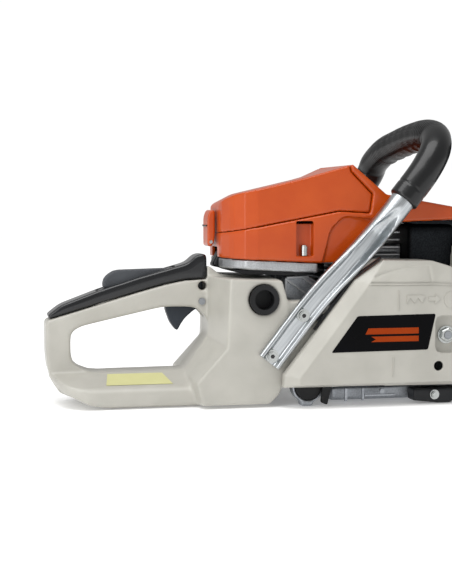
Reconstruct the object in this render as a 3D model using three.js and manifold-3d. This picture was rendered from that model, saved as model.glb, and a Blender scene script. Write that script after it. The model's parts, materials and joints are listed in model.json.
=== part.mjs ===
// A petrol chainsaw with a rear tank handle, an aluminium tube handle and a sprocket-nose guide bar.
// Millimetres. X runs forward along the bar, Y to the saw's left, Z up.
// The origin is on the ground, straight below the crankshaft, on the engine's middle plane.
import * as THREE from "three";
import { mergeVertices } from "three/addons/utils/BufferGeometryUtils.js";
import Module from "manifold-3d";

const wasm = await Module();
wasm.setup();

// ---- driving dimensions ----
const gap = 0.4; // clearance between two separate pieces that meet
const wall = 3.2; // moulded covers and shells

const crankZ = 71; // crankshaft height above the ground
const crankThrow = 16;
const crankPinRadius = 6;
const rodLength = 58; // connecting rod, centre to centre
const boreRadius = 22.5;
const shaftRadius = 6; // crankshaft outside its bearings
const journalRadius = 8;
const bearingRadius = 17.5;
const caseHalf = 42; // crankcase half width, from the split to the outer wall

const linkPitch = 16.51; // one drive link of .325 in chain
const driveLinks = 66;
const driveTeeth = 8;
const noseTeeth = 10;
const barThickness = 3.9;
const barY = -53; // middle plane of bar and chain
const chainWidth = 6.6;
const studRadius = 4;
const studX = [75, 103];

const drumRadius = 38;
const tankHalf = 75; // half width of the fuel tank
const handleHalf = 17; // half width of the rear handle
const tubeRadius = 12.5; // front handle tube
const gripThickness = 3.2;
const coverOuter = -98; // outer face of the clutch cover
const shroudHalf = tankHalf * 0.8; // half width of the engine covers
const filterHalf = shroudHalf - 18; // half width of the air filter
const starterOuter = 82; // outer face of the starter housing
const pulleyRadius = 21;
const bufferRadius = 15;

// ---- places worked out from them ----
const drivePitchRadius = (driveTeeth * linkPitch) / (2 * Math.PI);
const nosePitchRadius = (noseTeeth * linkPitch) / (2 * Math.PI);
const noseX = (driveLinks * linkPitch - Math.PI * (drivePitchRadius + nosePitchRadius)) / 2;
const pinZ = crankZ + crankThrow + rodLength;
const trackDepth = 2.8; // from the rivets down to the bar's rail
const handleLegY = -(tankHalf + gap);

const finishes = {
  beige: { color: "#cfcdc5", roughness: 0.42, metalness: 0 },
  orange: { color: "#cb561f", roughness: 0.3, metalness: 0 },
  black: { color: "#2b2e33", roughness: 0.5, metalness: 0 },
  rubber: { color: "#26282c", roughness: 0.75, metalness: 0 },
  casting: { color: "#6b6d73", roughness: 0.55, metalness: 1 },
  silver: { color: "#aab4b9", roughness: 0.45, metalness: 1 },
  tube: { color: "#c9cdd0", roughness: 0.25, metalness: 1 },
  steel: { color: "#8d9196", roughness: 0.35, metalness: 1 },
  chrome: { color: "#d5d8da", roughness: 0.12, metalness: 1 },
  bronze: { color: "#8a7a52", roughness: 0.5, metalness: 1 },
  rope: { color: "#d8d4c8", roughness: 0.9, metalness: 0 },
};

// ---- solids ----
// A closed geometry as a solid, turned outside out if its faces point inwards.
function solid(geometry) {
  const loose = geometry.index ? geometry.toNonIndexed() : geometry;
  const bare = new THREE.BufferGeometry().setAttribute("position", loose.getAttribute("position"));
  const merged = mergeVertices(bare, 1e-4);
  const corners = new Uint32Array(merged.index.array);
  const make = () =>
    new wasm.Manifold(
      new wasm.Mesh({
        numProp: 3,
        vertProperties: merged.attributes.position.array,
        triVerts: corners,
      }),
    );
  const made = make();
  if (made.volume() > 0) return made;
  for (let i = 0; i < corners.length; i += 3) {
    [corners[i + 1], corners[i + 2]] = [corners[i + 2], corners[i + 1]];
  }
  return make();
}

const join = (...pieces) => pieces.reduce((all, piece) => all.add(piece));
const cut = (body, ...tools) => tools.reduce((left, tool) => left.subtract(tool), body);

// Corners [a, b, rounding] become a list of points, each rounded corner as a short curve.
function rounded(corners, steps = 2) {
  const at = (i) => {
    const [a, b] = corners[(i + corners.length) % corners.length];
    return new THREE.Vector2(a, b);
  };
  const points = [];
  corners.forEach(([, , rounding = 0], i) => {
    const here = at(i);
    if (!rounding) {
      points.push(here);
      return;
    }
    const back = at(i - 1).sub(here);
    const on = at(i + 1).sub(here);
    const reach = Math.min(rounding, back.length() * 0.45, on.length() * 0.45);
    const start = here.clone().add(back.setLength(reach));
    const end = here.clone().add(on.setLength(reach));
    points.push(...new THREE.QuadraticBezierCurve(start, here, end).getPoints(steps));
  });
  return points;
}

const turns = {
  x: new THREE.Matrix4().set(0, 0, 1, 0, 1, 0, 0, 0, 0, 1, 0, 0, 0, 0, 0, 1),
  y: new THREE.Matrix4().set(1, 0, 0, 0, 0, 0, -1, 0, 0, 1, 0, 0, 0, 0, 0, 1),
  z: new THREE.Matrix4(),
};

// An outline drawn across an axis (y,z or x,z or x,y) and extruded along it from low to high.
function slab(axis, corners, low, high, bevel = 0) {
  const geometry = new THREE.ExtrudeGeometry(new THREE.Shape(rounded(corners)), {
    depth: high - low - 2 * bevel,
    bevelEnabled: bevel > 0,
    bevelThickness: bevel,
    bevelSize: bevel,
    bevelOffset: -bevel,
    bevelSegments: 1,
  });
  geometry.translate(0, 0, axis === "y" ? -high + bevel : low + bevel);
  return solid(geometry.applyMatrix4(turns[axis]));
}

function box(x, y, z) {
  const geometry = new THREE.BoxGeometry(x[1] - x[0], y[1] - y[0], z[1] - z[0]);
  return solid(geometry.translate((x[0] + x[1]) / 2, (y[0] + y[1]) / 2, (z[0] + z[1]) / 2));
}

function ring([a, b], radius, sides, phase = 0) {
  return Array.from({ length: sides }, (_, i) => {
    const angle = phase + (2 * Math.PI * i) / sides;
    return [a + radius * Math.cos(angle), b + radius * Math.sin(angle)];
  });
}

const disc = (axis, centre, radius, low, high, sides = 20) =>
  slab(axis, ring(centre, radius, sides), low, high);

const washer = (axis, centre, outer, inner, low, high, sides = 24) =>
  cut(disc(axis, centre, outer, low, high, sides), disc(axis, centre, inner, low - 1, high + 1, sides));

// Outlines of equal length at several y places, joined into one closed skin.
function loft(sections) {
  const count = sections[0].corners.length;
  const positions = [];
  const point = (s, i) => {
    const [x, z] = sections[s].corners[i % count];
    return [x, sections[s].y, z];
  };
  for (let s = 0; s + 1 < sections.length; s++) {
    for (let i = 0; i < count; i++) {
      const [a, b, c, d] = [point(s, i), point(s, i + 1), point(s + 1, i + 1), point(s + 1, i)];
      positions.push(...a, ...b, ...c, ...a, ...c, ...d);
    }
  }
  [0, sections.length - 1].forEach((s) => {
    const flat = sections[s].corners.map(([x, z]) => new THREE.Vector2(x, z));
    const backwards = THREE.ShapeUtils.isClockWise(flat);
    for (const face of THREE.ShapeUtils.triangulateShape(flat, [])) {
      const order = (s === 0) === backwards ? face : [...face].reverse();
      order.forEach((i) => positions.push(...point(s, i)));
    }
  });
  const geometry = new THREE.BufferGeometry();
  geometry.setAttribute("position", new THREE.Float32BufferAttribute(positions, 3));
  return solid(geometry);
}

// A round tube of full section along a smooth path.
function cordSolid(path, radius, sides, steps) {
  const section = new THREE.Shape(ring([0, 0], radius, sides).map(([a, b]) => new THREE.Vector2(a, b)));
  return solid(
    new THREE.ExtrudeGeometry(section, { steps, extrudePath: path, bevelEnabled: false }),
  );
}

// A toothed wheel about a Y axis.
function gear([x, z], outer, root, teeth, low, high) {
  const corners = [];
  for (let i = 0; i < teeth; i++) {
    const place = (share, radius) => {
      const angle = (2 * Math.PI * (i + share)) / teeth;
      corners.push([x + radius * Math.cos(angle), z + radius * Math.sin(angle)]);
    };
    place(0, root);
    place(0.3, root);
    place(0.42, outer);
    place(0.88, outer);
  }
  return slab("y", corners, low, high);
}

const saw = new THREE.Group();
saw.name = "chainsaw";

function add(name, made, finish) {
  const mesh = made.getMesh();
  const geometry = new THREE.BufferGeometry();
  geometry.setAttribute("position", new THREE.BufferAttribute(mesh.vertProperties, 3));
  geometry.setIndex(new THREE.BufferAttribute(mesh.triVerts, 1));
  const piece = new THREE.Mesh(geometry, new THREE.MeshStandardMaterial(finishes[finish]));
  piece.name = name;
  saw.add(piece);
}

// ---- rear handle and fuel tank ----
const triggerPivot = [-163, 103];
const lockoutPivot = [-162, 119];
const pivotPinRadius = 2;
const bufferCentre = [-111, 108];
const fuelNeck = [-125, 50];
const fuelNeckRadius = 15;
const tankFront = -86;
const rodZ = 122; // throttle rod
const coverSeam = [
  [-319, 87], [-288, 96], [-258, 105], [-227, 114], [-201, 121], [-181, 125], [-157, 126],
];

function tankHousing() {
  const loop = slab(
    "y",
    [[-298, 73, 5], [-288, 79, 5], [-248, 88], [-202, 98, 8], [-167, 97, 10], [-156, 83, 6],
      [-157, 68, 5], [-181, 33, 3], [-279, 32, 10], [-298, 42, 10]],
    -handleHalf - 60,
    handleHalf + 60,
  );
  const handle = slab(
    "y",
    [...coverSeam.map(([x, z]) => [x, z - gap]), [-157, 141, 3], [-144, 131], [-120, 129], [-120, 0],
      [-262, 0, 20], [-312, 10, 14], [-323, 40, 24], [-323, 86, 6]].reverse(),
    -handleHalf,
    handleHalf,
  );
  const side = [[tankFront, 106], [-92, 127], [-145, 129], [-148, 60], [-179, 26], [-172, 3],
    [-105, 3], [-95, 12], [tankFront, 36]];
  const middle = [[tankFront, 106], [-92, 129], [-157, 129], [-157, 66], [-183, 31], [-186, 0],
    [-105, 0], [-95, 10], [tankFront, 36]];
  const tank = loft([
    { y: -tankHalf, corners: side },
    { y: -handleHalf, corners: middle },
    { y: handleHalf, corners: middle },
    { y: tankHalf, corners: side },
  ]);
  const footSection = slab(
    "x",
    [[-16, 33], [-56, 21, 3], [-60, 16, 3], [-59, 3, 4], [-50, 0], [20, 0], [25, 6, 4], [24, 20, 4],
      [16, 33]],
    -324,
    -170,
  );
  const footPlan = slab(
    "z",
    [[-170, -62], [-170, 26], [-304, 24, 16], [-323, 0, 14], [-308, -50, 30], [-280, -62, 20]],
    -1,
    40,
  );
  const footSide = slab(
    "y",
    [[-324, 60], [-320, 28], [-309, 16], [-282, 4], [-262, 0], [-160, 0], [-160, 60]],
    -90,
    60,
  );
  const foot = footSection.intersect(footPlan).intersect(footSide);
  const armRight = slab("y", [[-90, 106], [-64, 106], [-54, 84], [-54, 64], [-90, 26]], -tankHalf + 1, -48);
  const armLeft = box([-90, -62], [44, tankHalf - 1], [8, 46]);
  const shell = join(handle, foot, tank, armRight, armLeft);
  const fuel = box([-142, tankFront - wall - 1], [-tankHalf + 4, tankHalf - 4], [7, 88]);
  const neck = disc("y", fuelNeck, fuelNeckRadius, tankHalf - 6, tankHalf + 2);
  const leverSlot = slab("y", [[-270, 97], [-270, 170], [-154, 170], [-154, 106], [-200, 104]], -8, 8);
  const triggerSlot = slab(
    "y",
    [[-208, 60], [-208, 125], [-155, 125], [-155, 94], [-166, 60]],
    -6.8,
    6.8,
  );
  const rodGroove = box([-170, tankFront + 5], [-6.8, -1.2], [rodZ - 4, 170]);
  const holes = [
    disc("y", triggerPivot, pivotPinRadius + gap, -60, 60, 12),
    disc("y", lockoutPivot, pivotPinRadius + gap, -60, 60, 12),
    disc("y", lockoutPivot, 4.3, -60, -12, 14),
    disc("y", bufferCentre, bufferRadius + gap, -tankHalf - 1, -tankHalf + 26, 24),
    disc("y", bufferCentre, bufferRadius + gap, tankHalf - 26, tankHalf + 1, 24),
  ];
  const blindEnds = [
    box([-200, -140], [-tankHalf, -handleHalf], [80, 126]),
    box([-200, -140], [handleHalf, tankHalf], [80, 126]),
  ].map((block) => block.intersect(tank));
  const pinHoles = join(...holes.slice(0, 3)).subtract(join(...blindEnds));
  return cut(shell, loop, fuel, neck, leverSlot, triggerSlot, rodGroove, pinHoles, ...holes.slice(3));
}

function handleCover() {
  const top = [[-157, 140, 2], [-157, 152, 2], [-167, 152, 4], [-176, 143, 4], [-227, 129], [-268, 116],
    [-308, 101, 4], [-322, 90, 3]];
  const body = slab("y", [...coverSeam, ...top], -handleHalf + 1, handleHalf - 1);
  const slot = slab(
    "y",
    [[-270, 80], [-270, 170], [-199, 170], [-190, 139], [-160.5, 133], [-160.5, 80]],
    -7.6,
    7.6,
  );
  return cut(body, slot);
}

function throttleTrigger() {
  const blade = slab(
    "y",
    [[-199, 102, 2], [-199, 94, 2], [-194, 80, 4], [-187, 71.5, 2], [-180, 84, 6], [-168, 94, 4],
      [-158, 99, 3], [-158, 107, 3]].reverse(),
    -6,
    6,
  );
  const arm = slab("y", [[-167, 103], [-159, 103], [-160, rodZ + 3], [-166, rodZ + 3]], -5.6, -2.2);
  return cut(join(blade, arm), disc("y", triggerPivot, pivotPinRadius + gap, -9, 9, 12));
}

function throttleLockout() {
  const lever = slab(
    "y",
    [[-264, 117, 3], [-263, 127, 4], [-253, 135.5, 6], [-198, 137, 2], [-190, 134], [-164, 126, 3],
      [-157, 119, 4], [-164, 113, 4], [-198, 123], [-240, 117]].reverse(),
    -6.8,
    6.8,
  );
  return cut(
    lever,
    box([-188, -150], [-8, -1], [100, 140]),
    disc("y", lockoutPivot, pivotPinRadius + gap, -9, 9, 12),
  );
}

const stopSwitch = () => slab("y", [[-187, 104, 2], [-173, 106, 2], [-173, 114, 2], [-187, 112, 2]],
  handleHalf + gap, handleHalf + 5, 1);

add("tank_housing", tankHousing(), "beige");
add("handle_cover", handleCover(), "black");
add("throttle_trigger", throttleTrigger(), "black");
add("throttle_lockout", throttleLockout(), "black");
add("trigger_pin", join(
  disc("y", triggerPivot, pivotPinRadius, -handleHalf - gap, handleHalf, 12),
  disc("y", triggerPivot, 3.6, -handleHalf - 1.6, -handleHalf - gap, 14),
), "steel");
add("lockout_pin", disc("y", lockoutPivot, pivotPinRadius, -1.4, handleHalf - 1, 12), "steel");
add("throttle_rod", join(
  box([-157.4, -79], [-5, -3], [rodZ - 1, rodZ + 1]),
  box([-81, -79], [-5, -3], [rodZ - 1, 146.5]),
), "steel");
add("stop_switch", stopSwitch(), "black");

function rearBuffer(low, high, hollowFrom, hollowTo) {
  return cut(
    disc("y", bufferCentre, bufferRadius, low, high, 24),
    disc("y", bufferCentre, bufferRadius - 5, hollowFrom, hollowTo, 20),
  );
}
add("rear_buffer_right", rearBuffer(-tankHalf - 3, -tankHalf + 25, -tankHalf - 9, -tankHalf + 12), "rubber");
add("rear_buffer_left", rearBuffer(tankHalf - 25, tankHalf + 3, tankHalf - 12, tankHalf + 9), "rubber");

function screwCap([x, z], radius, neckRadius, face, depth, height) {
  const flange = slab("y", ring([x, z], radius, 24), face + gap, face + height, 2);
  const plug = disc("y", [x, z], neckRadius, face - depth, face + gap + 1, 20);
  const wing = box([x - radius + 4, x + radius - 4], [face + height - 1, face + height + 5], [z - 3, z + 3]);
  return join(flange, plug, wing);
}
add("fuel_cap", screwCap(fuelNeck, 21, fuelNeckRadius - gap, tankHalf, 8, 8), "black");

// ---- front handle ----
const legSlope = [[-107, 46], [-62, 103], [-12, 157], [28, 206]]; // middle line of the right leg
const legY = handleLegY - tubeRadius;

function handlePath() {
  const besideStarter = starterOuter + tubeRadius + 1.5;
  const besideTank = tankHalf + tubeRadius + 0.5;
  const places = [[14, legY, 189], [28, legY, 206], [51, legY + 1, 235], [65, legY + 7, 257], [72, -62, 271],
    [70, -40, 275], [68, 0, 272.5], [66, 34, 268], [62, 62, 262], [57, 84, 250], [53, 95, 234],
    [26, besideStarter + 2, 192], [-10, besideStarter + 2, 150], [-50, besideStarter, 82],
    [-68, besideTank + 2, 50], [-75, besideTank, 26]];
  return new THREE.CatmullRomCurve3(
    places.map((place) => new THREE.Vector3(...place)),
    false,
    "centripetal",
  );
}

const handleSteps = 38;

function rightLeg() {
  const side = (spread) => legSlope.map(([x, z], i) => [x + spread[i][0], z + spread[i][1]]);
  const rear = side([[-8, 6.5], [-8, 6.5], [-9, 7.5], [-10, 8]]);
  const front = side([[8, -6.5], [8, -6.5], [9, -7.5], [10, -8]]);
  return slab("y", [...front, ...rear.reverse()], handleLegY - 9, handleLegY, 1.5);
}

const screwSeats = [[-72, 92], [-104, 52]];

function handleTube() {
  const tube = cordSolid(handlePath(), tubeRadius, 10, handleSteps);
  const upperLeg = slab(
    "y",
    [[-18, 144], [38, 208], [20, 214], [-32, 158]],
    legY - tubeRadius + 3,
    handleLegY,
    3,
  );
  const seats = screwSeats.map((seat) => disc("y", seat, 2.4, -110, -60, 12));
  return cut(join(tube, upperLeg, rightLeg()), ...seats);
}

// The rubber sleeve covers the tube between these shares of its points.
function handleGrip() {
  const path = handlePath();
  const points = path.getSpacedPoints(handleSteps);
  const [first, last] = [2, 24];
  const sleevePath = new THREE.CatmullRomCurve3(points.slice(first, last + 1), false, "centripetal");
  const sleeve = cordSolid(sleevePath, tubeRadius + gripThickness, 12, last - first);
  const hollow = join(
    cordSolid(path, tubeRadius + gap, 10, handleSteps),
    slab("y", [[-18, 143], [39, 208], [20, 216], [-33, 158]], legY - tubeRadius + 2, handleLegY + 1),
  );
  return cut(sleeve, hollow);
}

add("front_handle_tube", handleTube(), "tube");
add("front_handle_grip", handleGrip(), "rubber");
screwSeats.forEach((seat, i) => {
  const head = slab("y", ring(seat, 5, 16), handleLegY - 12, handleLegY - 9 - gap, 0.6);
  const shank = disc("y", seat, 2, handleLegY - 10, handleLegY + 0.2, 10);
  add(["handle_screw_upper", "handle_screw_lower"][i], join(head, shank), "chrome");
});

// ---- crankcase and base ----
const caseOutline = [[-52, 22, 6], [-30, 4, 4], [112, 4, 8], [130, 32, 10], [130, 102, 10], [114, 117, 8],
  [60, 117, 4], [44, 111.6], [-36, 111.6, 4], [-52, 98, 4]];
const basePad = { x: [-28, 44], y: [-38, 14], z: [0, 6.5] };
const oilNeck = [98, 42];
const oilNeckRadius = 12;
const webRadius = 33;
const rearWeb = [[-83, 107], [-83, 129, 2], [-56, 130, 2], [-41, 120], [-41, 92], [-50, 92]];
const ringCentre = [-65, 20];
const tensionerSeat = [65, 40];
const crankAxis = [0, crankZ];
const guardPivot = [108, 156];
const guardPinRadius = 3;
const armInner = 66; // inner face of the hand guard's arms
const armThickness = 6;

function crankcase(side) {
  const outer = side * caseHalf;
  const [low, high] = side > 0 ? [gap / 2, outer] : [outer, -gap / 2];
  const span = (near, far) => (side > 0 ? [near, far] : [-far, -near]);
  const body = slab("y", caseOutline, low, high);
  const chamber = disc("y", crankAxis, webRadius + 3, ...span(-1, 19.4), 28);
  const seat = disc("y", crankAxis, bearingRadius + gap, ...span(18, 33), 24);
  const exit = disc("y", crankAxis, journalRadius + 1, ...span(30, caseHalf + 2), 16);
  const rodSlot = disc("z", [0, 0], boreRadius - 3, crankZ + 20, 130, 20);
  return cut(body, chamber, seat, exit, rodSlot);
}

function crankcaseRight() {
  const pad = box(basePad.x, basePad.y, basePad.z);
  const shelf = slab("x", [[-64, 3, 3], [-40, 1], [-40, 17.5], [-64, 17.5, 2]], -38, 116);
  const barPad = slab("y", ring([0, 0], 1, 4).map((_, i) => [[58, 118, 118, 58][i], [57, 57, 85, 85][i], 6]),
    barY + barThickness / 2 + gap, -caseHalf + 1);
  const bufferRing = washer("y", ringCentre, 17, 14.4, -76, -60, 28);
  const lug = box([-72, -60], [-76, -60], [0, 5]);
  const arm = box([-57, -47.6], [-70, -caseHalf + 4], [8, 34]);
  const armCut = disc("y", ringCentre, 14.4, -78, -58, 28);
  const studs = studX.map((x) => disc("y", [x, crankZ], studRadius + gap, -60, -25, 14));
  const tensioner = disc("y", tensionerSeat, 4 + gap, -60, -30, 14);
  const oilBore = disc("y", crankAxis, journalRadius + 1, -60, -30, 16);
  const web = slab("y", rearWeb, -43.5, -caseHalf + 10);
  const body = join(crankcase(-1), pad, shelf, barPad, bufferRing, lug, web, cut(arm, armCut));
  const chamberFloor = disc("y", crankAxis, webRadius + 3, -19.4, 20, 28);
  const lightening = cut(
    box([64, 122], [-caseHalf + 14, 1], [14, 106]),
    disc("y", [89, crankZ], 26, -60, 2, 20),
  );
  return cut(body, ...studs, tensioner, oilBore, chamberFloor, lightening);
}

function crankcaseLeft() {
  const padRoom = box(
    [basePad.x[0] - gap, basePad.x[1] + gap],
    [-1, basePad.y[1] + gap],
    [-1, basePad.z[1] + gap],
  );
  const oil = box([66, 122], [6, caseHalf - 4], [12, 66]);
  const neck = disc("y", oilNeck, oilNeckRadius, caseHalf - 6, caseHalf + 2);
  const lightening = box([66, 122], [-1, caseHalf - 6], [71, 108]);
  const bracket = join(
    box([96, 122], [caseHalf - 2, armInner - gap], [78, 108]),
    slab("y", [[96, 80], [120, 80], [118, 164, 6], [98, 164, 6]], armInner - 18, armInner - gap),
    disc("y", guardPivot, guardPinRadius, armInner - 4, armInner + 7, 12),
  );
  const web = slab("y", rearWeb, caseHalf - 12, caseHalf);
  return cut(join(crankcase(1), bracket, web), padRoom, oil, neck, lightening);
}

add("crankcase_right", crankcaseRight(), "casting");
add("crankcase_left", crankcaseLeft(), "casting");
add("front_buffer_right", disc("y", ringCentre, 14, -75, -61, 24), "rubber");
add("oil_cap", screwCap(oilNeck, 17, oilNeckRadius - gap, caseHalf, 7, 7), "black");
add("chain_catcher", slab("y", [[44, 3], [70, 0], [84, 0], [96, 9, 3], [96, 15.5], [44, 15.5]].reverse(),
  -84, -64 - gap, 1), "black");

function bumperSpikes() {
  const front = 130 + gap;
  const corners = [[front, 30], [front + 6, 28]];
  for (let i = 0; i < 4; i++) {
    const z = 33 + i * 20;
    corners.push([front + 7, z], [front + 21, z + 7], [front + 7, z + 14]);
  }
  corners.push([front + 6, 114], [front, 112]);
  return slab("y", corners, -46, -41);
}
add("bumper_spikes", bumperSpikes(), "steel");

// ---- engine inside ----
const deckZ = 112;
const headZ = 182;
const plugX = -12;
const intakeZ = 162;
const exhaustZ = 146;

function cylinder() {
  const barrel = disc("z", [2, 0], 28, deckZ, headZ, 24);
  const fins = Array.from({ length: 8 }, (_, i) => {
    const z = deckZ + 6 + i * 7.8;
    return slab("z", [[-41, -41, 12], [47, -41, 12], [47, 41, 12], [-41, 41, 12]], z, z + 2.4);
  });
  const foot = slab("z", [[-34, -32, 6], [38, -32, 6], [38, 32, 6], [-34, 32, 6]], deckZ, deckZ + 4);
  const intake = box([-42.6, -20], [-17, 17], [intakeZ - 15, intakeZ + 15]);
  const exhaust = box([22, 51.6], [-19, 19], [exhaustZ - 15, exhaustZ + 15]);
  const bore = disc("z", [0, 0], boreRadius, deckZ - 1, headZ - 12, 28);
  const ports = [
    disc("x", [0, intakeZ - 4], 9, -50, -15, 16),
    disc("x", [0, exhaustZ], 10, 15, 60, 16),
    disc("z", [plugX, 0], 7, headZ - 14, headZ + 1, 16),
  ];
  return cut(join(barrel, foot, intake, exhaust, ...fins), bore, ...ports);
}

function piston() {
  const [low, high] = [pinZ - 18, pinZ + 17];
  return cut(
    disc("z", [0, 0], boreRadius - gap, low, high, 28),
    disc("z", [0, 0], boreRadius - 3.6, low - 1, high - 7, 24),
    disc("y", [0, pinZ], 5 + gap, -30, 30, 16),
  );
}

function connectingRod() {
  const crankPin = [0, crankZ + crankThrow];
  const shank = slab("y", [[-6, crankPin[1]], [6, crankPin[1]], [5, pinZ], [-5, pinZ]], -3, 3);
  const body = join(shank, disc("y", crankPin, 11, -5, 5, 20), disc("y", [0, pinZ], 9, -5, 5, 20));
  // The big end is left open where the crank pin sweeps past.
  const sweep = disc("y", crankAxis, crankThrow + crankPinRadius + 2 * gap, -9, 9, 32);
  return cut(body, sweep, disc("y", [0, pinZ], 5 + gap, -9, 9, 16));
}

function crankshaft() {
  const web = (low, high) => disc("y", crankAxis, webRadius, low, high, 28);
  return join(
    web(-17, -6),
    web(6, 17),
    disc("y", [0, crankZ + crankThrow], crankPinRadius, -7, 7, 18),
    disc("y", crankAxis, journalRadius, -caseHalf, -16, 18),
    disc("y", crankAxis, journalRadius, 16, 34, 18),
    disc("y", crankAxis, shaftRadius, -84, -caseHalf + 1, 16),
    disc("y", crankAxis, shaftRadius, 33, 66, 16),
  );
}

add("cylinder", cylinder(), "casting");
add("piston", piston(), "silver");
add("piston_pin", disc("y", [0, pinZ], 5, -21, 21, 16), "steel");
add("connecting_rod", connectingRod(), "steel");
add("crankshaft", crankshaft(), "steel");
["right", "left"].forEach((side) => {
  const [low, high] = side === "left" ? [20.5, 32] : [-32, -20.5];
  const bearing = washer("y", crankAxis, bearingRadius, journalRadius + gap, low, high, 24);
  add(`main_bearing_${side}`, bearing, "steel");
});
add("spark_plug", join(
  disc("z", [plugX, 0], 6.5, headZ - 10, headZ + 2, 14),
  disc("z", [plugX, 0], 9, headZ + gap, headZ + 9, 6),
  disc("z", [plugX, 0], 4.4, headZ + 8, headZ + 17, 12),
), "steel");
add("spark_plug_boot", cut(
  disc("z", [plugX, 0], 9, headZ + 9.6, headZ + 24, 16),
  disc("z", [plugX, 0], 4.4 + gap, headZ + 8, headZ + 18, 12),
), "rubber");
add("muffler", cut(
  slab("x", [[-44, 124, 8], [44, 124, 8], [44, 182, 8], [-44, 182, 8]], 52, 104, 3),
  slab("x", [[-41, 127, 6], [41, 127, 6], [41, 179, 6], [-41, 179, 6]], 55, 101),
  disc("x", [0, exhaustZ], 10, 50, 60, 16),
  disc("x", [24, 146], 6, 90, 110, 14),
), "black");
add("intake_boot", cut(
  disc("x", [0, intakeZ], 15, -61.6, -43, 20),
  disc("x", [0, intakeZ], 9, -70, -40, 16),
), "rubber");
add("carburettor", cut(
  join(
    slab("x", [[-18, 148, 3], [18, 148, 3], [18, 177, 3], [-18, 177, 3]], -97, -62),
    disc("y", [-80, intakeZ], 4, -26, -17, 12),
    disc("z", [-80, 0], 11, 176, 181, 16),
  ),
  disc("x", [0, intakeZ], 9, -100, -60, 16),
), "silver");
add("air_filter", cut(
  slab(
    "x",
    [[-filterHalf, 151, 6], [filterHalf, 151, 6], [filterHalf, 186, 8], [-filterHalf, 186, 8]],
    -134,
    -98,
    2,
  ),
  disc("x", [0, intakeZ], 9, -124, -90, 16),
), "black");

// ---- engine covers ----
const coverFloor = [[-146, 148.4], [-51, 143.2]];
const planOutline = (half, rear) => [[rear, -30, 14], [rear + 19, -half, 14], [131, -half, 4], [131, half, 4],
  [rear + 19, half, 14], [rear, 30, 14]];
const chokeBay = () => box([-170, -128], [-13, 13], [100, 159]);

function cylinderShroud() {
  const corners = [...coverFloor, [-2, 143.2], [38, 184.6], [96, 187], [129, 183, 3], [130, 192, 4],
    [92, 201], [22, 213], [-14, 243], [-17, 242.6], [-16 + gap, 236.4], [7 + gap, 213.4],
    [4 + gap, 194 - gap],
    [-28, 196 - gap], [-146, 174 - gap]];
  const body = slab("y", corners, -shroudHalf, shroudHalf, 1.5);
  const plan = slab("z", planOutline(shroudHalf, -147), 100, 260);
  const inside = slab("y", [[-142.5, 120], [125, 120], [125, 189.5], [92, 197.4], [24, 209.4], [11, 213],
    [8, 190], [1, 190], [1, 200], [-142.5, 200]], -shroudHalf + wall, shroudHalf - wall);
  const insidePlan = slab("z", planOutline(shroudHalf - wall, -147 + wall), 100, 260);
  const boss = box([-77, -53], [-shroudHalf + 1, -49], [146.4, 183]);
  const pocket = box([-74, -56], [-shroudHalf - 1, -52], [150.4, 186]);
  const window = [[-50, 130], [-38, 178, 6], [-25, 191, 6], [6, 188, 4], [36, 183.5], [-6, 136], [-20, 130]];
  const panel = [[-54, 143.6], [-42, 180], [-27, 193], [3, 190], [30, 180], [-4, 143.6]];
  const recess = 2.4;
  const sides = [-1, 1].map((side) => {
    const span = (near, far) => (side > 0 ? [near, far] : [-far, -near]);
    return {
      opening: slab("y", window, ...span(shroudHalf - wall - 1, shroudHalf + 1)),
      inner: slab("y", panel, ...span(shroudHalf - wall - recess, shroudHalf - wall + 0.6)),
    };
  });
  const openings = sides.map((side) => side.opening);
  const hollow = cut(body.intersect(plan), inside.intersect(insidePlan), ...openings);
  return cut(join(hollow, boss.intersect(body), ...sides.map((side) => side.inner)), pocket, chokeBay());
}

function filterCover() {
  const corners = [[-146, 174], [-28, 196], [4, 194], [7, 213], [-16, 236], [-17.6, 242.4], [-70, 228],
    [-134, 213, 4], [-146, 206, 5]];
  const body = slab("y", corners, -shroudHalf + 2, shroudHalf - 2, 1.2).intersect(
    slab("z", planOutline(shroudHalf - 2, -146.6), 100, 260),
  );
  const inside = slab("y", [[-142, 120], [0, 120], [0.5, 193], [3, 212], [-19, 234], [-21, 237], [-72, 223.6],
    [-132, 209.4], [-142, 203]],
    -shroudHalf + 2 + wall, shroudHalf - 2 - wall);
  return cut(body, inside.intersect(slab("z", planOutline(shroudHalf - 2 - wall, -146.6 + wall), 100, 260)));
}

function airBox() {
  const tray = [[-145, 138], [-51, 133], [-51, 142.8], [-145, 148]];
  const body = slab("y", tray, -shroudHalf + 1, shroudHalf - 1);
  return cut(
    body.intersect(slab("z", planOutline(shroudHalf - 1, -146), 100, 200)),
    box([-128, -57], [-40, 40], [142, 160]),
    box([-101, -58], [-26, 26], [120, 160]),
    chokeBay(),
    disc("x", [0, 146], 3, -140, -110, 12),
  );
}

function latchLever() {
  const side = [[-156, 190, 4], [-153, 197, 2], [-148, 197, 2], [-148, 170], [-149, 163], [-152.5, 159],
    [-156, 160, 3]];
  return slab("y", side, -13, 13, 1);
}

function chokeKnob() {
  const knob = slab("y", [[-151, 139, 3], [-138, 136, 2], [-133, 150, 3], [-142, 157, 3]], -9, 9, 1.5);
  return join(knob, disc("x", [0, 146], 2, -140, -112, 10));
}

add("cylinder_shroud", cylinderShroud(), "orange");
add("filter_cover", filterCover(), "orange");
add("air_box", airBox(), "silver");
const shroudScrew = [-65, -56.5];
const shroudScrewHead = disc("z", shroudScrew, 3.6, 151, 160, 16);
add("shroud_screw", join(shroudScrewHead, disc("z", shroudScrew, 3, 159, 161.4, 16)),
  "chrome");
add("latch_lever", latchLever(), "orange");
add("choke_knob", chokeKnob(), "black");

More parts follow.
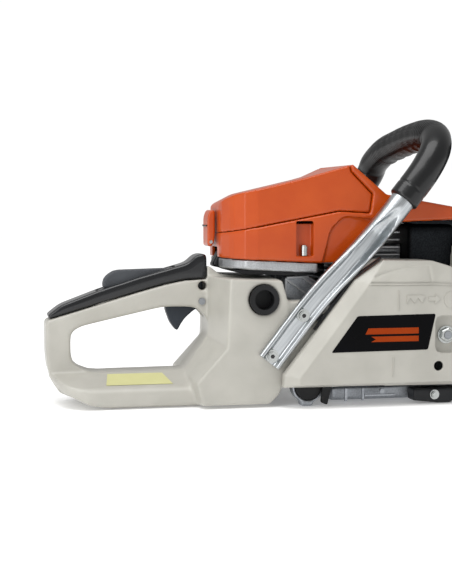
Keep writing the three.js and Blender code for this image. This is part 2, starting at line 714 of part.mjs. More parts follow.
// ---- clutch side ----
const nutSeat = -90;
const coverFace = [[-80, 24], [-80, 31], [-8, 125], [20, 124], [60, 124], [78, 123], [106, 116], [119, 94],
  [119, 52], [108, 24]];
const coverRim = [[-94, 21], [-93, 34], [-20, 127], [9, 147], [61, 146], [78, 141], [114, 128], [128, 98],
  [128, 50], [115, 19]];

function inset(corners, amount) {
  const centre = corners.reduce(([a, b], [x, z]) => [a + x / corners.length, b + z / corners.length], [0, 0]);
  return corners.map(([x, z]) => {
    const away = new THREE.Vector2(x - centre[0], z - centre[1]);
    away.setLength(away.length() - amount);
    return [centre[0] + away.x, centre[1] + away.y];
  });
}

function clutchCover() {
  const rimY = -caseHalf - 2;
  const skin = loft([
    { y: coverOuter, corners: coverFace },
    { y: coverOuter + 10, corners: coverRim },
    { y: rimY, corners: coverRim },
  ]);
  const hollow = loft([
    { y: coverOuter + wall, corners: inset(coverFace, wall + 1.5) },
    { y: coverOuter + 10 + wall, corners: inset(coverRim, wall + 1.5) },
    { y: rimY + 1, corners: inset(coverRim, wall + 1.5) },
  ]);
  const padOutline = [[57, 54, 6], [118, 54, 6], [118, 88, 6], [57, 88, 6]];
  const pad = join(
    slab("y", padOutline, nutSeat - 1, barY - barThickness / 2 - gap),
    slab("y", [[57, 49, 8], [118, 49, 8], [118, 95, 8], [57, 95, 8]], coverOuter + 1, nutSeat + 4),
  );
  const nutBay = slab("y", [[61, 53, 8], [114, 53, 8], [114, 91, 8], [61, 91, 8]], coverOuter - 1, nutSeat);
  const studs = studX.map((x) => disc("y", [x, crankZ], studRadius + gap, -120, -40, 14));
  const guardBoss = join(
    slab("y", [[95, 126], [120, 116], [118, 164, 6], [98, 164, 6]], -armInner + gap, -armInner + 20),
    disc("y", guardPivot, guardPinRadius, -armInner - 7, -armInner + 4, 12),
  );
  return cut(
    join(cut(skin, hollow), pad, guardBoss),
    nutBay,
    ...studs,
    disc("y", tensionerSeat, 5, -120, -80, 16),
    box([96, 140], [-60, -30], [31, 112]),
    box([-100, -44], [-78, -30], [0, 150]),
    box([-38, 40], [-88, -56], [10, 30]),
  );
}

const hubInner = coverOuter + 19;
add("clutch_cover", clutchCover(), "beige");
studX.forEach((x, i) => {
  const which = ["rear", "front"][i];
  add(`bar_stud_${which}`, disc("y", [x, crankZ], studRadius, coverOuter + 1, -26, 14), "steel");
  const hexagon = slab("y", ring([x, crankZ], 7.4, 6, 0.4), coverOuter + 1.4, nutSeat - gap, 0.8);
  const flange = disc("y", [x, crankZ], 9, nutSeat - 2, nutSeat - gap, 20);
  const bore = disc("y", [x, crankZ], studRadius + gap, -120, -60, 14);
  add(`bar_nut_${which}`, cut(join(hexagon, flange), bore), "chrome");
});

const sprocketTip = drivePitchRadius - trackDepth - 1;
add("oil_pump", washer("y", crankAxis, 24, shaftRadius + 1, -48, -caseHalf - gap, 24), "bronze");
add("clutch_drum", cut(
  join(
    gear(crankAxis, sprocketTip, sprocketTip - 4, driveTeeth, -58, -49),
    disc("y", crankAxis, drumRadius, hubInner - 1, -57.4, 32),
  ),
  disc("y", crankAxis, drumRadius - 2.5, hubInner - 5, -60.4, 32),
  disc("y", crankAxis, shaftRadius + gap, -90, -40, 16),
), "steel");
const hubSlots = [0, 1, 2].map((i) => {
  const slot = new THREE.BoxGeometry(3, 30, 24).translate(0, -70, drumRadius - 8);
  return solid(slot.rotateY((i * 2 * Math.PI) / 3).translate(0, 0, crankZ));
});
add("clutch_hub", cut(
  disc("y", crankAxis, drumRadius - 3.6, hubInner, -61.4, 30),
  ...hubSlots,
  disc("y", crankAxis, shaftRadius + gap, -90, -40, 16),
), "steel");
add("brake_band", cut(
  washer("y", crankAxis, drumRadius + 2.2, drumRadius + 0.8, -77, -64, 32),
  slab("y", [[6, crankZ], [60, crankZ - 30], [60, crankZ - 6]], -90, -50),
), "steel");
add("tensioner_screw", disc("y", tensionerSeat, 4, -48, -31, 14), "steel");

// ---- bar and chain ----
// The loop of a belt round both sprockets, a given distance outside the rivet line.
function loopOutline(offset) {
  const [tail, nose] = [drivePitchRadius + offset, nosePitchRadius + offset];
  const lean = Math.asin((nose - tail) / noseX);
  const arc = (x, radius, from, to, steps) =>
    Array.from({ length: steps + 1 }, (_, i) => {
      const angle = from + ((to - from) * i) / steps;
      return [x + radius * Math.cos(angle), crankZ + radius * Math.sin(angle)];
    });
  const [low, high] = [-Math.PI / 2 - lean, Math.PI / 2 + lean];
  return [...arc(noseX, nose, low, high, 14), ...arc(0, tail, high, low + 2 * Math.PI, 12)];
}

function guideBar() {
  const [low, high] = [barY - barThickness / 2, barY + barThickness / 2];
  const rail = slab("y", loopOutline(-trackDepth - gap), low, high);
  const tail = box([-60, 52], [-80, -30], [0, 150]);
  const [slotLow, slotHigh] = [crankZ - studRadius - 0.6, crankZ + studRadius + 0.6];
  const slot = slab("y", [[64, slotLow, 4], [112, slotLow, 4], [112, slotHigh, 4], [64, slotHigh, 4]],
    -80, -30);
  const nose = cut(
    disc("y", [noseX, crankZ], nosePitchRadius + 9, low + 0.8, high - 0.8, 28),
    disc("y", [noseX, crankZ], 5, -80, -30, 16),
  );
  return cut(rail, tail, slot, nose);
}

add("guide_bar", guideBar(), "steel");
add("nose_sprocket", cut(
  gear([noseX, crankZ], nosePitchRadius - trackDepth - gap, nosePitchRadius - 7, noseTeeth,
    barY - barThickness / 2 + 1.1, barY + barThickness / 2 - 1.1),
  disc("y", [noseX, crankZ], 5 + gap, -80, -30, 16),
), "steel");
add("saw_chain", cut(
  slab("y", loopOutline(7), barY - chainWidth / 2, barY + chainWidth / 2),
  slab("y", loopOutline(-trackDepth), -80, -30),
), "steel");

// ---- starter side ----
const starterInner = caseHalf + gap;
const flywheelRadius = 45;
const ropeX = -pulleyRadius;
const ropeY = 73;
const starterTop = 142;
const starterOutline = [[-50, 14, 10], [46, 14, 14], [57, 30, 10], [57, starterTop - 24, 12],
  [38, starterTop, 10],
  [-34, starterTop, 10], [-50, starterTop - 22, 12]];

function starterHousing() {
  const body = slab("y", starterOutline, starterInner - 4, starterOuter, 4);
  const keep = box([-100, 100], [starterInner, starterOuter + 1], [0, 200]);
  const inner = inset(starterOutline.map(([x, z]) => [x, z]), wall + 2);
  const hollow = slab("y", inner, starterInner - 8, starterOuter - wall);
  const slots = Array.from({ length: 12 }, (_, i) => {
    const slot = new THREE.BoxGeometry(4, 20, 16).translate(0, starterOuter, 33);
    return solid(slot.rotateY((i * Math.PI) / 6).translate(0, 0, crankZ));
  });
  const post = disc("y", crankAxis, 5, 67.5, starterOuter - 1, 14);
  const ropeHole = disc("z", [ropeX, ropeY], 3, starterTop - 20, starterTop + 10, 12);
  return cut(join(cut(body.intersect(keep), hollow), post), ...slots, ropeHole);
}

add("starter_housing", starterHousing(), "beige");
add("flywheel", cut(
  join(
    disc("y", crankAxis, flywheelRadius, 48, 56, 32),
    ...Array.from({ length: 10 }, (_, i) => {
      const blade = new THREE.BoxGeometry(2.4, 9, 20).translate(0, 59, flywheelRadius - 11);
      return solid(blade.rotateY((i * Math.PI) / 5).translate(0, 0, crankZ));
    }),
  ),
  disc("y", crankAxis, shaftRadius + gap, 40, 90, 16),
), "silver");
add("ignition_coil", box([-13, 15], [50, 64], [crankZ + flywheelRadius + 1, starterTop - wall - 3]), "black");
add("starter_pulley", cut(
  join(
    disc("y", crankAxis, pulleyRadius - 2, 69, 77, 24),
    disc("y", crankAxis, pulleyRadius + 2, 68, 70, 24),
    disc("y", crankAxis, pulleyRadius + 2, 76, 78, 24),
  ),
  disc("y", crankAxis, 5 + gap, 60, 90, 14),
), "black");
add("starter_rope", disc("z", [ropeX, ropeY], 1.6, crankZ + 6, starterTop + 4, 8), "rope");
add("starter_handle", cut(
  slab("y", [[-42, 7, 4], [-30, 4.5, 3], [-12, 4.5, 3], [0, 7, 4], [-2, 20, 6], [-40, 20, 6]].map(
    ([x, up, rounding]) => [x, starterTop + up, rounding],
  ), ropeY - 7, ropeY + 7, 2),
  disc("z", [ropeX, ropeY], 1.6 + gap, starterTop, starterTop + 4 + gap + 1, 8),
), "black");

// ---- hand guard ----
function handGuard() {
  const arm = (low, high) => slab("y", [[100, 150, 4], [116, 147, 4], [138, 160], [165, 184, 4], [168, 214],
    [159, 212], [126, 178], [101, 166, 4]], low, high, 1);
  const plate = slab("y", [[155, 192, 3], [164, 190, 3], [184, 280, 4], [177, 284, 4]], -74, 86);
  const sweep = slab("x", [[-80, 180], [90, 180], [90, 268, 14], [66, 292, 14], [-56, 292, 14],
    [-78, 268, 14]],
    100, 200);
  const arms = [arm(-armInner - armThickness, -armInner), arm(armInner, armInner + armThickness)];
  return cut(join(...arms, plate.intersect(sweep)), disc("y", guardPivot, guardPinRadius + gap, -90, 90, 14));
}
add("hand_guard", handGuard(), "black");

export default saw;
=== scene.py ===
# %% [markdown]
# A petrol chainsaw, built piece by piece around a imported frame. The frame holds every part at its real
# place and size, in metres, with X forward along the bar, Y to the saw's left and Z up. This file gives
# the parts their moulded, cast, drawn and ground surfaces. It starts by loading that frame.

# %% Load the frame
import json
import math

import bmesh
import bpy
import numpy as np
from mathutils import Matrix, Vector


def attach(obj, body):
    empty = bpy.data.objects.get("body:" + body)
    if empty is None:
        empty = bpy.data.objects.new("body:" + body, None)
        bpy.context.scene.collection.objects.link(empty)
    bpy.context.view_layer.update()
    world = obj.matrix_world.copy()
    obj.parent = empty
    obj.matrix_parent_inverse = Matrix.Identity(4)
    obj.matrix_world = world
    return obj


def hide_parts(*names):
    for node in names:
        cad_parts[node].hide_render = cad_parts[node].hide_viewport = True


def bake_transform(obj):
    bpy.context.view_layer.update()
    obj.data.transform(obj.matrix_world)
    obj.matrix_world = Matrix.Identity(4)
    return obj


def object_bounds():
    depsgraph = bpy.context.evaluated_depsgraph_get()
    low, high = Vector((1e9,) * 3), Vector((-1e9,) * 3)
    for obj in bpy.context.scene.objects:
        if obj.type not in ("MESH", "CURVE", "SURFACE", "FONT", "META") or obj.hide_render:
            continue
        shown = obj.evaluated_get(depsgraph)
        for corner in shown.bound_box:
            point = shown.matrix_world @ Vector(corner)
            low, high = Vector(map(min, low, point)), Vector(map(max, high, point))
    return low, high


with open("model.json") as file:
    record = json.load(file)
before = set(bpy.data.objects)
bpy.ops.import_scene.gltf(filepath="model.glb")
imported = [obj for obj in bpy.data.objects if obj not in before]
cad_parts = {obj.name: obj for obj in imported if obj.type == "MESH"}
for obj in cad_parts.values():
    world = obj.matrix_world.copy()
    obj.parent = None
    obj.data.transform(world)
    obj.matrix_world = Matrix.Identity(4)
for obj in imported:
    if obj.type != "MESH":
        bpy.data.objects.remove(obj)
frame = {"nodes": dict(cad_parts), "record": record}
cad_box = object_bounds()
nodes = frame["nodes"]
body_of_node = {
    node: body for body, held in frame["record"]["behaviour"]["bodies"].items() for node in held
}
MM = 0.001

# %% [markdown]
# The camera looks at the saw's right side from a little behind and a little above. A long lens keeps the
# far side from shrinking. The backdrop is white to the camera, and the room gives the saw a weaker light
# from all round. The paper floor glows more the farther it is from the saw, so it stays white there and
# still takes a soft contact shadow under the foot.

# %% Camera, floor and light
YAW = math.radians(12)
DROP = math.radians(4)
LENS_MM = 77.05
CAMERA_SPOT = (-0.4059, -1.2797, 0.2025)
camera_data = bpy.data.cameras.new("camera")
camera_data.lens = LENS_MM
camera = bpy.data.objects.new("camera", camera_data)
camera.location = CAMERA_SPOT
camera.rotation_euler = (math.pi / 2 - DROP, 0, -YAW)
bpy.context.scene.collection.objects.link(camera)
bpy.context.scene.camera = camera


def linear(hexcode):
    """sRGB hex to the linear colour that shaders use."""
    parts = [int(hexcode[i : i + 2], 16) / 255 for i in (1, 3, 5)]
    return tuple(c / 12.92 if c <= 0.04045 else ((c + 0.055) / 1.055) ** 2.4 for c in parts) + (1.0,)


def node(material, kind, inputs=None, **settings):
    """Adds one node, sets its settings, and fills or links its inputs."""
    made = material.node_tree.nodes.new(kind)
    for name, value in settings.items():
        setattr(made, name, value)
    for socket, value in (inputs or {}).items():
        if isinstance(value, bpy.types.NodeSocket):
            material.node_tree.links.new(value, made.inputs[socket])
        else:
            made.inputs[socket].default_value = value
    return made


def blank(name):
    """A material whose tree is still empty."""
    material = bpy.data.materials.new(name)
    material.use_nodes = True
    material.node_tree.nodes.clear()
    return material


# White seamless paper: a matt white that gives the eye a plain ground. Away from the saw it has its own
# light, as a sweep lit by background lamps does. Near the saw it has less, so the contact shadow shows.
FLOOR_HALF = 6.0
FLOOR_GAP = 0.0006
paper = blank("studio_paper")
place = node(paper, "ShaderNodeTexCoord").outputs["Object"]
distance = node(paper, "ShaderNodeVectorMath", {0: place}, operation="LENGTH").outputs["Value"]
glow = node(
    paper,
    "ShaderNodeMapRange",
    {"Value": distance, "From Min": 0.45, "From Max": 1.4, "To Min": 0.2, "To Max": 0.58},
)
matt_white = node(
    paper,
    "ShaderNodeBsdfPrincipled",
    {
        "Base Color": linear("#FAFAFA"),
        "Roughness": 0.9,
        "Emission Color": (1, 1, 1, 1),
        "Emission Strength": glow.outputs["Result"],
    },
)
node(paper, "ShaderNodeOutputMaterial", {"Surface": matt_white.outputs[0]})
floor_corners = [(x * FLOOR_HALF, y * FLOOR_HALF, 0) for x, y in ((-1, -1), (1, -1), (1, 1), (-1, 1))]
floor_mesh = bpy.data.meshes.new("floor")
floor_mesh.from_pydata(floor_corners, [], [(0, 1, 2, 3)])
floor_mesh.materials.append(paper)
floor = bpy.data.objects.new("floor", floor_mesh)
floor.location.z = cad_box[0][2] - FLOOR_GAP
bpy.context.scene.collection.objects.link(floor)

world = bpy.data.worlds.new("studio")
world.use_nodes = True
world.node_tree.nodes.clear()
seen = node(world, "ShaderNodeLightPath").outputs["Is Camera Ray"]
backdrop = node(world, "ShaderNodeBackground", {"Color": (1, 1, 1, 1), "Strength": 1.02})
room = node(world, "ShaderNodeBackground", {"Color": (1, 1, 1, 1), "Strength": 0.5})
both = node(world, "ShaderNodeMixShader", {0: seen, 1: room.outputs[0], 2: backdrop.outputs[0]})
node(world, "ShaderNodeOutputWorld", {"Surface": both.outputs[0]})
bpy.context.scene.world = world
bpy.context.scene.view_settings.view_transform = "Standard"


def lamp(name, place, target, size, power):
    """A softbox at a place, aimed at a target. Sizes are in metres and power in watts."""
    data = bpy.data.lights.new(name, "AREA")
    data.shape = "RECTANGLE"
    data.size, data.size_y = size
    data.energy = power
    lit = bpy.data.objects.new(name, data)
    lit.location = place
    lit.rotation_euler = (Vector(target) - Vector(place)).to_track_quat("-Z", "Y").to_euler()
    bpy.context.scene.collection.objects.link(lit)


lamp("softbox_top", (-0.5, -0.5, 1.6), (-0.1, 0, 0.1), (1.6, 1.0), 21)
lamp("softbox_side", (-1.3, -1.1, 0.7), (0, 0, 0.12), (0.5, 1.2), 9)
print("camera at", [round(v, 3) for v in camera.location])

# %% [markdown]
# Plastics first. Chainsaw housings are glass-filled nylon, moulded in one piece. The pale one is satin:
# light spreads on it, with very slight mottling in the colour. The orange covers are the same nylon
# with a glossy lacquer. The black parts come from a tool with a fine spark texture. The real grain is
# about 0.1 mm, too fine to show, so it is drawn at 0.5 mm.

# %% Plastics
TONE_EDGES = (0.35, 0.65)
MOTTLE_MM = 35
MOULDED_SWING = 0.05
NYLON_IOR = 1.53
GRAIN_STRENGTH = 0.35


def surfaced(material, field, relief, tones, rough, depth_mm, strength, settings):
    """Two tones and a span of roughness from one mask, relief from another, and the shader's settings."""
    ramp = node(material, "ShaderNodeValToRGB", {"Fac": field})
    for element, position, tone in zip(ramp.color_ramp.elements, TONE_EDGES, tones):
        element.position = position
        element.color = linear(tone)
    roughness = node(material, "ShaderNodeMapRange", {"Value": field, "To Min": rough[0], "To Max": rough[1]})
    bump = node(
        material, "ShaderNodeBump", {"Height": relief, "Distance": depth_mm * MM, "Strength": strength}
    )
    shader = node(
        material,
        "ShaderNodeBsdfPrincipled",
        {
            "Base Color": ramp.outputs["Color"],
            "Roughness": roughness.outputs["Result"],
            "Normal": bump.outputs["Normal"],
            **settings,
        },
    )
    node(material, "ShaderNodeOutputMaterial", {"Surface": shader.outputs[0]})
    return material


def moulded(name, low, high, rough, grain_mm, depth_mm, coat=0.0, coat_rough=0.1, gloss=0.5):
    """Injection-moulded nylon: mottled colour, a grain from the tool, and a coat if it is lacquered."""
    material = blank(name)
    place = node(material, "ShaderNodeTexCoord").outputs["Object"]
    mottle = node(
        material, "ShaderNodeTexNoise", {"Vector": place, "Scale": 1 / (MOTTLE_MM * MM), "Detail": 4.0}
    )
    fine = node(
        material, "ShaderNodeTexNoise", {"Vector": place, "Scale": 1 / (grain_mm * MM), "Detail": 2.0}
    )
    settings = {
        "IOR": NYLON_IOR,
        "Specular IOR Level": gloss,
        "Coat Weight": coat,
        "Coat Roughness": coat_rough,
    }
    return surfaced(
        material,
        mottle.outputs["Fac"],
        fine.outputs["Fac"],
        (low, high),
        (rough - MOULDED_SWING, rough + MOULDED_SWING),
        depth_mm,
        GRAIN_STRENGTH,
        settings,
    )


# Tank, clutch cover and starter housing: a warm pale grey, with broad soft highlights.
beige_nylon = moulded("nylon_beige_satin", "#A8A69E", "#B1AFA7", 0.36, 0.6, 0.02, gloss=0.4)
# Filter cover, shroud and latch: a strong orange under lacquer, so rounded edges catch thin bright lines.
orange_nylon = moulded(
    "nylon_orange_gloss", "#AF4002", "#B74806", 0.34, 3.0, 0.03, coat=0.25, coat_rough=0.15, gloss=0.35
)
# Caps, knobs, tray and hand guard: near black, with a spark texture that keeps highlights dull.
black_nylon = moulded("nylon_black_textured", "#0D0E11", "#141619", 0.38, 0.5, 0.04, gloss=0.3)
# Top of the rear handle: polished black, with long clear reflections.
gloss_black = moulded(
    "nylon_black_gloss", "#090A0D", "#0E1013", 0.26, 6.0, 0.01, coat=0.5, coat_rough=0.06, gloss=0.25
)
# Throttle lockout: a dull mid grey, which sets it off from the black round it.
grey_nylon = moulded("nylon_grey_textured", "#3A3C40", "#44474B", 0.5, 0.5, 0.05, gloss=0.3)
# Trigger: a dull blue-grey.
dark_nylon = moulded("nylon_trigger", "#1F242B", "#2A3038", 0.46, 0.5, 0.05, gloss=0.3)
# Front grip: black rubber with a slight sheen, so its waves and ribs show.
rubber_grip = moulded(
    "rubber_grip_sleeve", "#0A0A0B", "#101112", 0.34, 0.6, 0.02, coat=0.3, coat_rough=0.12, gloss=0.25
)
# Buffers, flap and boots: a soft dull black that hardly shines.
rubber = moulded("rubber_moulded", "#0D0E0F", "#151618", 0.55, 0.7, 0.05, gloss=0.3)
print("plastics ready")

# %% [markdown]
# Metals next. The handle is drawn aluminium tube, brushed along its length. The crankcase is die-cast
# magnesium, blasted and a little uneven, and the air box is the same casting painted silver. Bar,
# sprockets and chain are steel. Screws and nuts are zinc-plated, so they are the brightest metal.

# %% Metals
def metal(
    name, low, high, rough, height_mm, strength, size_mm, detail=4.0, stretch=None, tilt=0.0, swing=0.08
):
    """Metal with one noise for tone, roughness and relief. A stretch draws the noise out as brush marks."""
    material = blank(name)
    place = node(material, "ShaderNodeTexCoord").outputs["Object"]
    if stretch:
        tilted = node(material, "ShaderNodeMapping", {"Vector": place, "Rotation": (0, tilt, 0)})
        drawn = node(material, "ShaderNodeMapping", {"Vector": tilted.outputs["Vector"], "Scale": stretch})
        place = drawn.outputs["Vector"]
    noise = node(
        material, "ShaderNodeTexNoise", {"Vector": place, "Scale": 1 / (size_mm * MM), "Detail": detail}
    )
    field = noise.outputs["Fac"]
    span = (rough - swing, rough + swing)
    return surfaced(material, field, field, (low, high), span, height_mm, strength, {"Metallic": 1.0})


TUBE_TILT = math.radians(50)
# Handle tube: bright and smooth, with fine lines that run down the leg.
drawn_aluminium = metal(
    "aluminium_drawn_tube", "#AEB2B5", "#C4C8CA", 0.3, 0.02, 0.12, 1.0, 4.0, (0.03, 1, 1), TUBE_TILT, 0.04
)
# Crankcase: blasted grey metal, whose uneven skin breaks up the light.
cast_magnesium = metal("magnesium_die_cast", "#989CA2", "#B2B6BB", 0.48, 0.12, 0.5, 1.6)
# Air box, cylinder and carburettor: a slightly warmer, lighter casting with a painted look. On the
# crankcase's web ribs its lighter tone is a painted highlight.
silver_casting = metal("casting_silver_paint", "#A4A6A8", "#BCBEC0", 0.48, 0.10, 0.4, 1.4)
# Turned and stamped steel: mid grey with fine rings from the tool.
machined_steel = metal("steel_machined", "#84878B", "#A3A6AA", 0.34, 0.02, 0.3, 0.8, 4.0, (1, 1, 8))
# Chain links: darker oiled steel.
dark_steel = metal("steel_chain", "#5B5E62", "#8B8E92", 0.36, 0.03, 0.3, 1.0, 3.0)
# Bar rails: hardened edges, darker than the bar, ground along its length.
rail_steel = metal("steel_bar_rail", "#6F7377", "#84888C", 0.36, 0.02, 0.3, 0.9, 4.0, (0.04, 1, 1))
# Bar faces: pale steel with long grinding marks.
ground_bar_steel = metal("steel_ground_bar", "#A9ADB0", "#C2C5C8", 0.30, 0.02, 0.3, 0.9, 4.0, (0.04, 1, 1))
# Screws, nuts and rivets: small bright points.
zinc_plate = metal("zinc_plated_steel", "#A8ABAA", "#B6B9B7", 0.24, 0.01, 0.1, 2.0, 2.0)
# Oil pump: dull brown sintered metal.
sintered_bronze = metal("bronze_sintered", "#77683F", "#94824F", 0.5, 0.05, 0.4, 0.8, 3.0)
# Silencer: heat paint, a dull dark grey with a dry skin.
muffler_black = metal("muffler_heat_paint", "#1E2023", "#2E3134", 0.55, 0.06, 0.4, 1.2, 3.0)
print("metals ready")

# %% [markdown]
# The film label, the paper sticker and the starter cord are small, but each has its own surface: the film
# is smooth, the sticker matt, and the cord is braided nylon.

# %% Label, sticker and cord
# Latch wire and screw sockets: thin black lines. On the sockets the black is painted shade for their hollows.
wire_black = moulded("steel_wire_black", "#0C0C0D", "#141415", 0.35, 1.0, 0.01)
# Film on the clutch cover: the deepest black on the saw, with hardly any glare.
label_film = moulded("label_film_black", "#040405", "#060609", 0.22, 5.0, 0.01, gloss=0.05)
# Bars printed on the film: a flat orange.
label_orange = moulded("label_film_orange", "#8E3206", "#963808", 0.3, 5.0, 0.01, gloss=0.08)
# Blank paper sticker: pale matt yellow.
sticker_yellow = moulded("sticker_paper_yellow", "#C2C088", "#CAC892", 0.5, 2.0, 0.01)
# Starter cord: off-white, dull and rough.
cord_nylon = moulded("cord_nylon_braid", "#B9B4A6", "#D8D4C8", 0.8, 1.2, 0.3)
print("films ready")

# %% [markdown]
# Some shapes are lofts: a ring of points swept along a middle line, whose shape may change on the way. The
# handle, its grip, the latch wire and the grooves in the covers come from this one tool. A curve with a
# bevel could only sweep one shape, so the rings are joined here by hand.

# %% Loft tool
def smooth_step(value, start, stop):
    """0 before start, 1 after stop, and an even curve between."""
    t = np.clip((value - start) / (stop - start), 0, 1)
    return t * t * (3 - 2 * t)


def smooth_path(points, step_mm):
    """A Catmull-Rom curve through the points, resampled every step_mm."""
    p = np.array(points, float)
    p = np.vstack([2 * p[0] - p[1], p, 2 * p[-1] - p[-2]])
    fine = []
    for i in range(1, len(p) - 2):
        for t in np.linspace(0, 1, 40, endpoint=False):
            a, b, c, d = p[i - 1 : i + 3]
            squared = (2 * a - 5 * b + 4 * c - d) * t**2
            cubed = (3 * b - a - 3 * c + d) * t**3
            fine.append(0.5 * (2 * b + (c - a) * t + squared + cubed))
    fine = np.array(fine + [p[-2]])
    along = np.concatenate([[0], np.cumsum(np.linalg.norm(np.diff(fine, axis=0), axis=1))])
    count = int(along[-1] / step_mm) + 1
    wanted = np.linspace(0, along[-1], count)
    return np.stack([np.interp(wanted, along, fine[:, k]) for k in range(3)], axis=1), wanted


def swept(path, first_side, ring_at):
    """Joins rings along a path. ring_at(i) gives points (across, out) in mm; out starts as first_side."""
    tangents = np.gradient(path, axis=0)
    tangents /= np.linalg.norm(tangents, axis=1)[:, None]
    out = np.array(first_side, float)
    rows = []
    for i, (spot, forward) in enumerate(zip(path, tangents)):
        out = out - forward * out.dot(forward)
        out /= np.linalg.norm(out)
        across = np.cross(forward, out)
        ring = np.array(ring_at(i))
        rows.append(spot + ring[:, :1] * across + ring[:, 1:] * out)
    corners = (np.vstack(rows) * MM).tolist()
    count = len(ring)
    last = (len(path) - 1) * count
    faces = []
    for i in range(len(path) - 1):
        for j in range(count):
            k = (j + 1) % count
            faces.append((i * count + j, i * count + k, (i + 1) * count + k, (i + 1) * count + j))
    faces.append(tuple(reversed(range(count))))
    faces.append(tuple(range(last, last + count)))
    mesh = bpy.data.meshes.new("swept")
    mesh.from_pydata(corners, [], faces)
    outward = bmesh.new()
    outward.from_mesh(mesh)
    bmesh.ops.recalc_face_normals(outward, faces=outward.faces)
    outward.to_mesh(mesh)
    outward.free()
    return mesh


def groove(points, radius):
    """A round bar along the points, to cut a moulded crease with. Sizes are in mm."""
    line, _ = smooth_path(points, 2.0)
    round_bar = [(radius * math.cos(a), radius * math.sin(a)) for a in np.linspace(0, 2 * math.pi, 12)[:-1]]
    return swept(line, (0, -1, 0.1), lambda i: round_bar)


print("loft tool ready")

# %% [markdown]
# Shapes come from a few small tools. The first takes a part of the frame, remeshes its surface evenly and
# relaxes it, which rounds every edge as a mould or a casting does. More passes give a rounder edge, and a
# weight can make one region rounder than another.

# %% Shape tools: softened copies
WELD_GAP = 1e-6
KEPT_FACES = 0.35


def link_piece(name, mesh, material, body, sharp=32):
    """Puts a mesh in the scene as a piece that rides on a body."""
    mesh.materials.clear()
    mesh.materials.append(material)
    mesh.shade_smooth()
    mesh.set_sharp_from_angle(angle=math.radians(sharp))
    piece = bpy.data.objects.new(name, mesh)
    bpy.context.scene.collection.objects.link(piece)
    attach(piece, body)
    return piece


def baked(piece):
    """The piece's mesh with its modifiers applied."""
    graph = bpy.context.evaluated_depsgraph_get()
    return bpy.data.meshes.new_from_object(piece.evaluated_get(graph))


def relax(mesh, passes, weight=None):
    """Moves each point towards the middle of its neighbours, many times over."""
    count = len(mesh.vertices)
    spots = np.empty(count * 3)
    mesh.vertices.foreach_get("co", spots)
    spots = spots.reshape(-1, 3)
    ends = np.empty(len(mesh.edges) * 2, dtype=np.int64)
    mesh.edges.foreach_get("vertices", ends)
    ends = ends.reshape(-1, 2)
    valence = np.bincount(ends.ravel(), minlength=count)[:, None]
    share = 0.5 if weight is None else 0.5 * weight(spots)[:, None]
    for _ in range(passes):
        total = np.stack(
            [
                np.bincount(ends[:, 0], spots[ends[:, 1], k], count)
                + np.bincount(ends[:, 1], spots[ends[:, 0], k], count)
                for k in range(3)
            ],
            axis=1,
        )
        spots = spots + share * (total / valence - spots)
    mesh.vertices.foreach_set("co", spots.ravel())
    mesh.update()


def softened(source, material, voxel_mm, passes, weight=None, grooves=(), reshape=None):
    """A rounded copy of a frame part, which stands for it. Grooves are cut before it is rounded."""
    part = nodes[source]
    rough = bpy.data.objects.new("rough", part.data.copy())
    bpy.context.scene.collection.objects.link(rough)
    weld = rough.modifiers.new("weld", "WELD")
    weld.merge_threshold = WELD_GAP
    cutters = []
    for mesh in grooves:
        cutter = bpy.data.objects.new("groove", mesh)
        bpy.context.scene.collection.objects.link(cutter)
        change = rough.modifiers.new("cut", "BOOLEAN")
        change.operation = "DIFFERENCE"
        change.object = cutter
        change.solver = "EXACT"
        cutters.append(cutter)
    remesh = rough.modifiers.new("remesh", "REMESH")
    remesh.mode = "VOXEL"
    remesh.voxel_size = voxel_mm * MM
    even = baked(rough)
    relax(even, passes, weight)
    if reshape:
        spots = np.array([vertex.co for vertex in even.vertices])
        even.vertices.foreach_set("co", reshape(spots).ravel())
        even.update()
    rough.modifiers.clear()
    for cutter in cutters:
        bpy.data.objects.remove(cutter)
    rough.data = even
    thin = rough.modifiers.new("thin", "DECIMATE")
    thin.ratio = KEPT_FACES
    even = baked(rough)
    bpy.data.objects.remove(rough)
    piece = link_piece(source + "_skin", even, material, body_of_node[source], sharp=50)
    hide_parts(source)
    print(f"{source}: {len(even.polygons)} faces")


# %% [markdown]
# Now the tool is used on each moulded and cast part. The tank's walls stay crisper than its grip. The
# clutch cover gets the creases of its mould, and the filter cover's top falls away to the left.

# %% Soften the moulded and cast parts
GRIP_FRONT = -0.17
GRIP_FOOT = 0.04
WALL_SHARE = 0.3


def handle_weight(spots):
    """1 on the rear grip, less on the tank's walls."""
    return np.where((spots[:, 0] < GRIP_FRONT) & (spots[:, 2] > GRIP_FOOT), 1.0, WALL_SHARE)


# Where the filter cover's top falls away, and by how much, in mm.
FALL = 8
FALL_FRONT = -15
FALL_LENGTH = 45
FALL_RIGHT = 20
FALL_WIDTH = 78
FALL_FOOT = 184
FALL_TOP = 206


def fallen_left(spots):
    """Lowers the rear of the filter cover's top, more and more towards the saw's left."""
    x, y, z = (spots / MM).T
    rear = np.clip((FALL_FRONT - x) / FALL_LENGTH, 0, 1)
    side = np.clip((y + FALL_RIGHT) / FALL_WIDTH, 0, 1)
    high = smooth_step(z, FALL_FOOT, FALL_TOP)
    lowered = spots.copy()
    lowered[:, 2] -= FALL * MM * rear * side * high
    return lowered


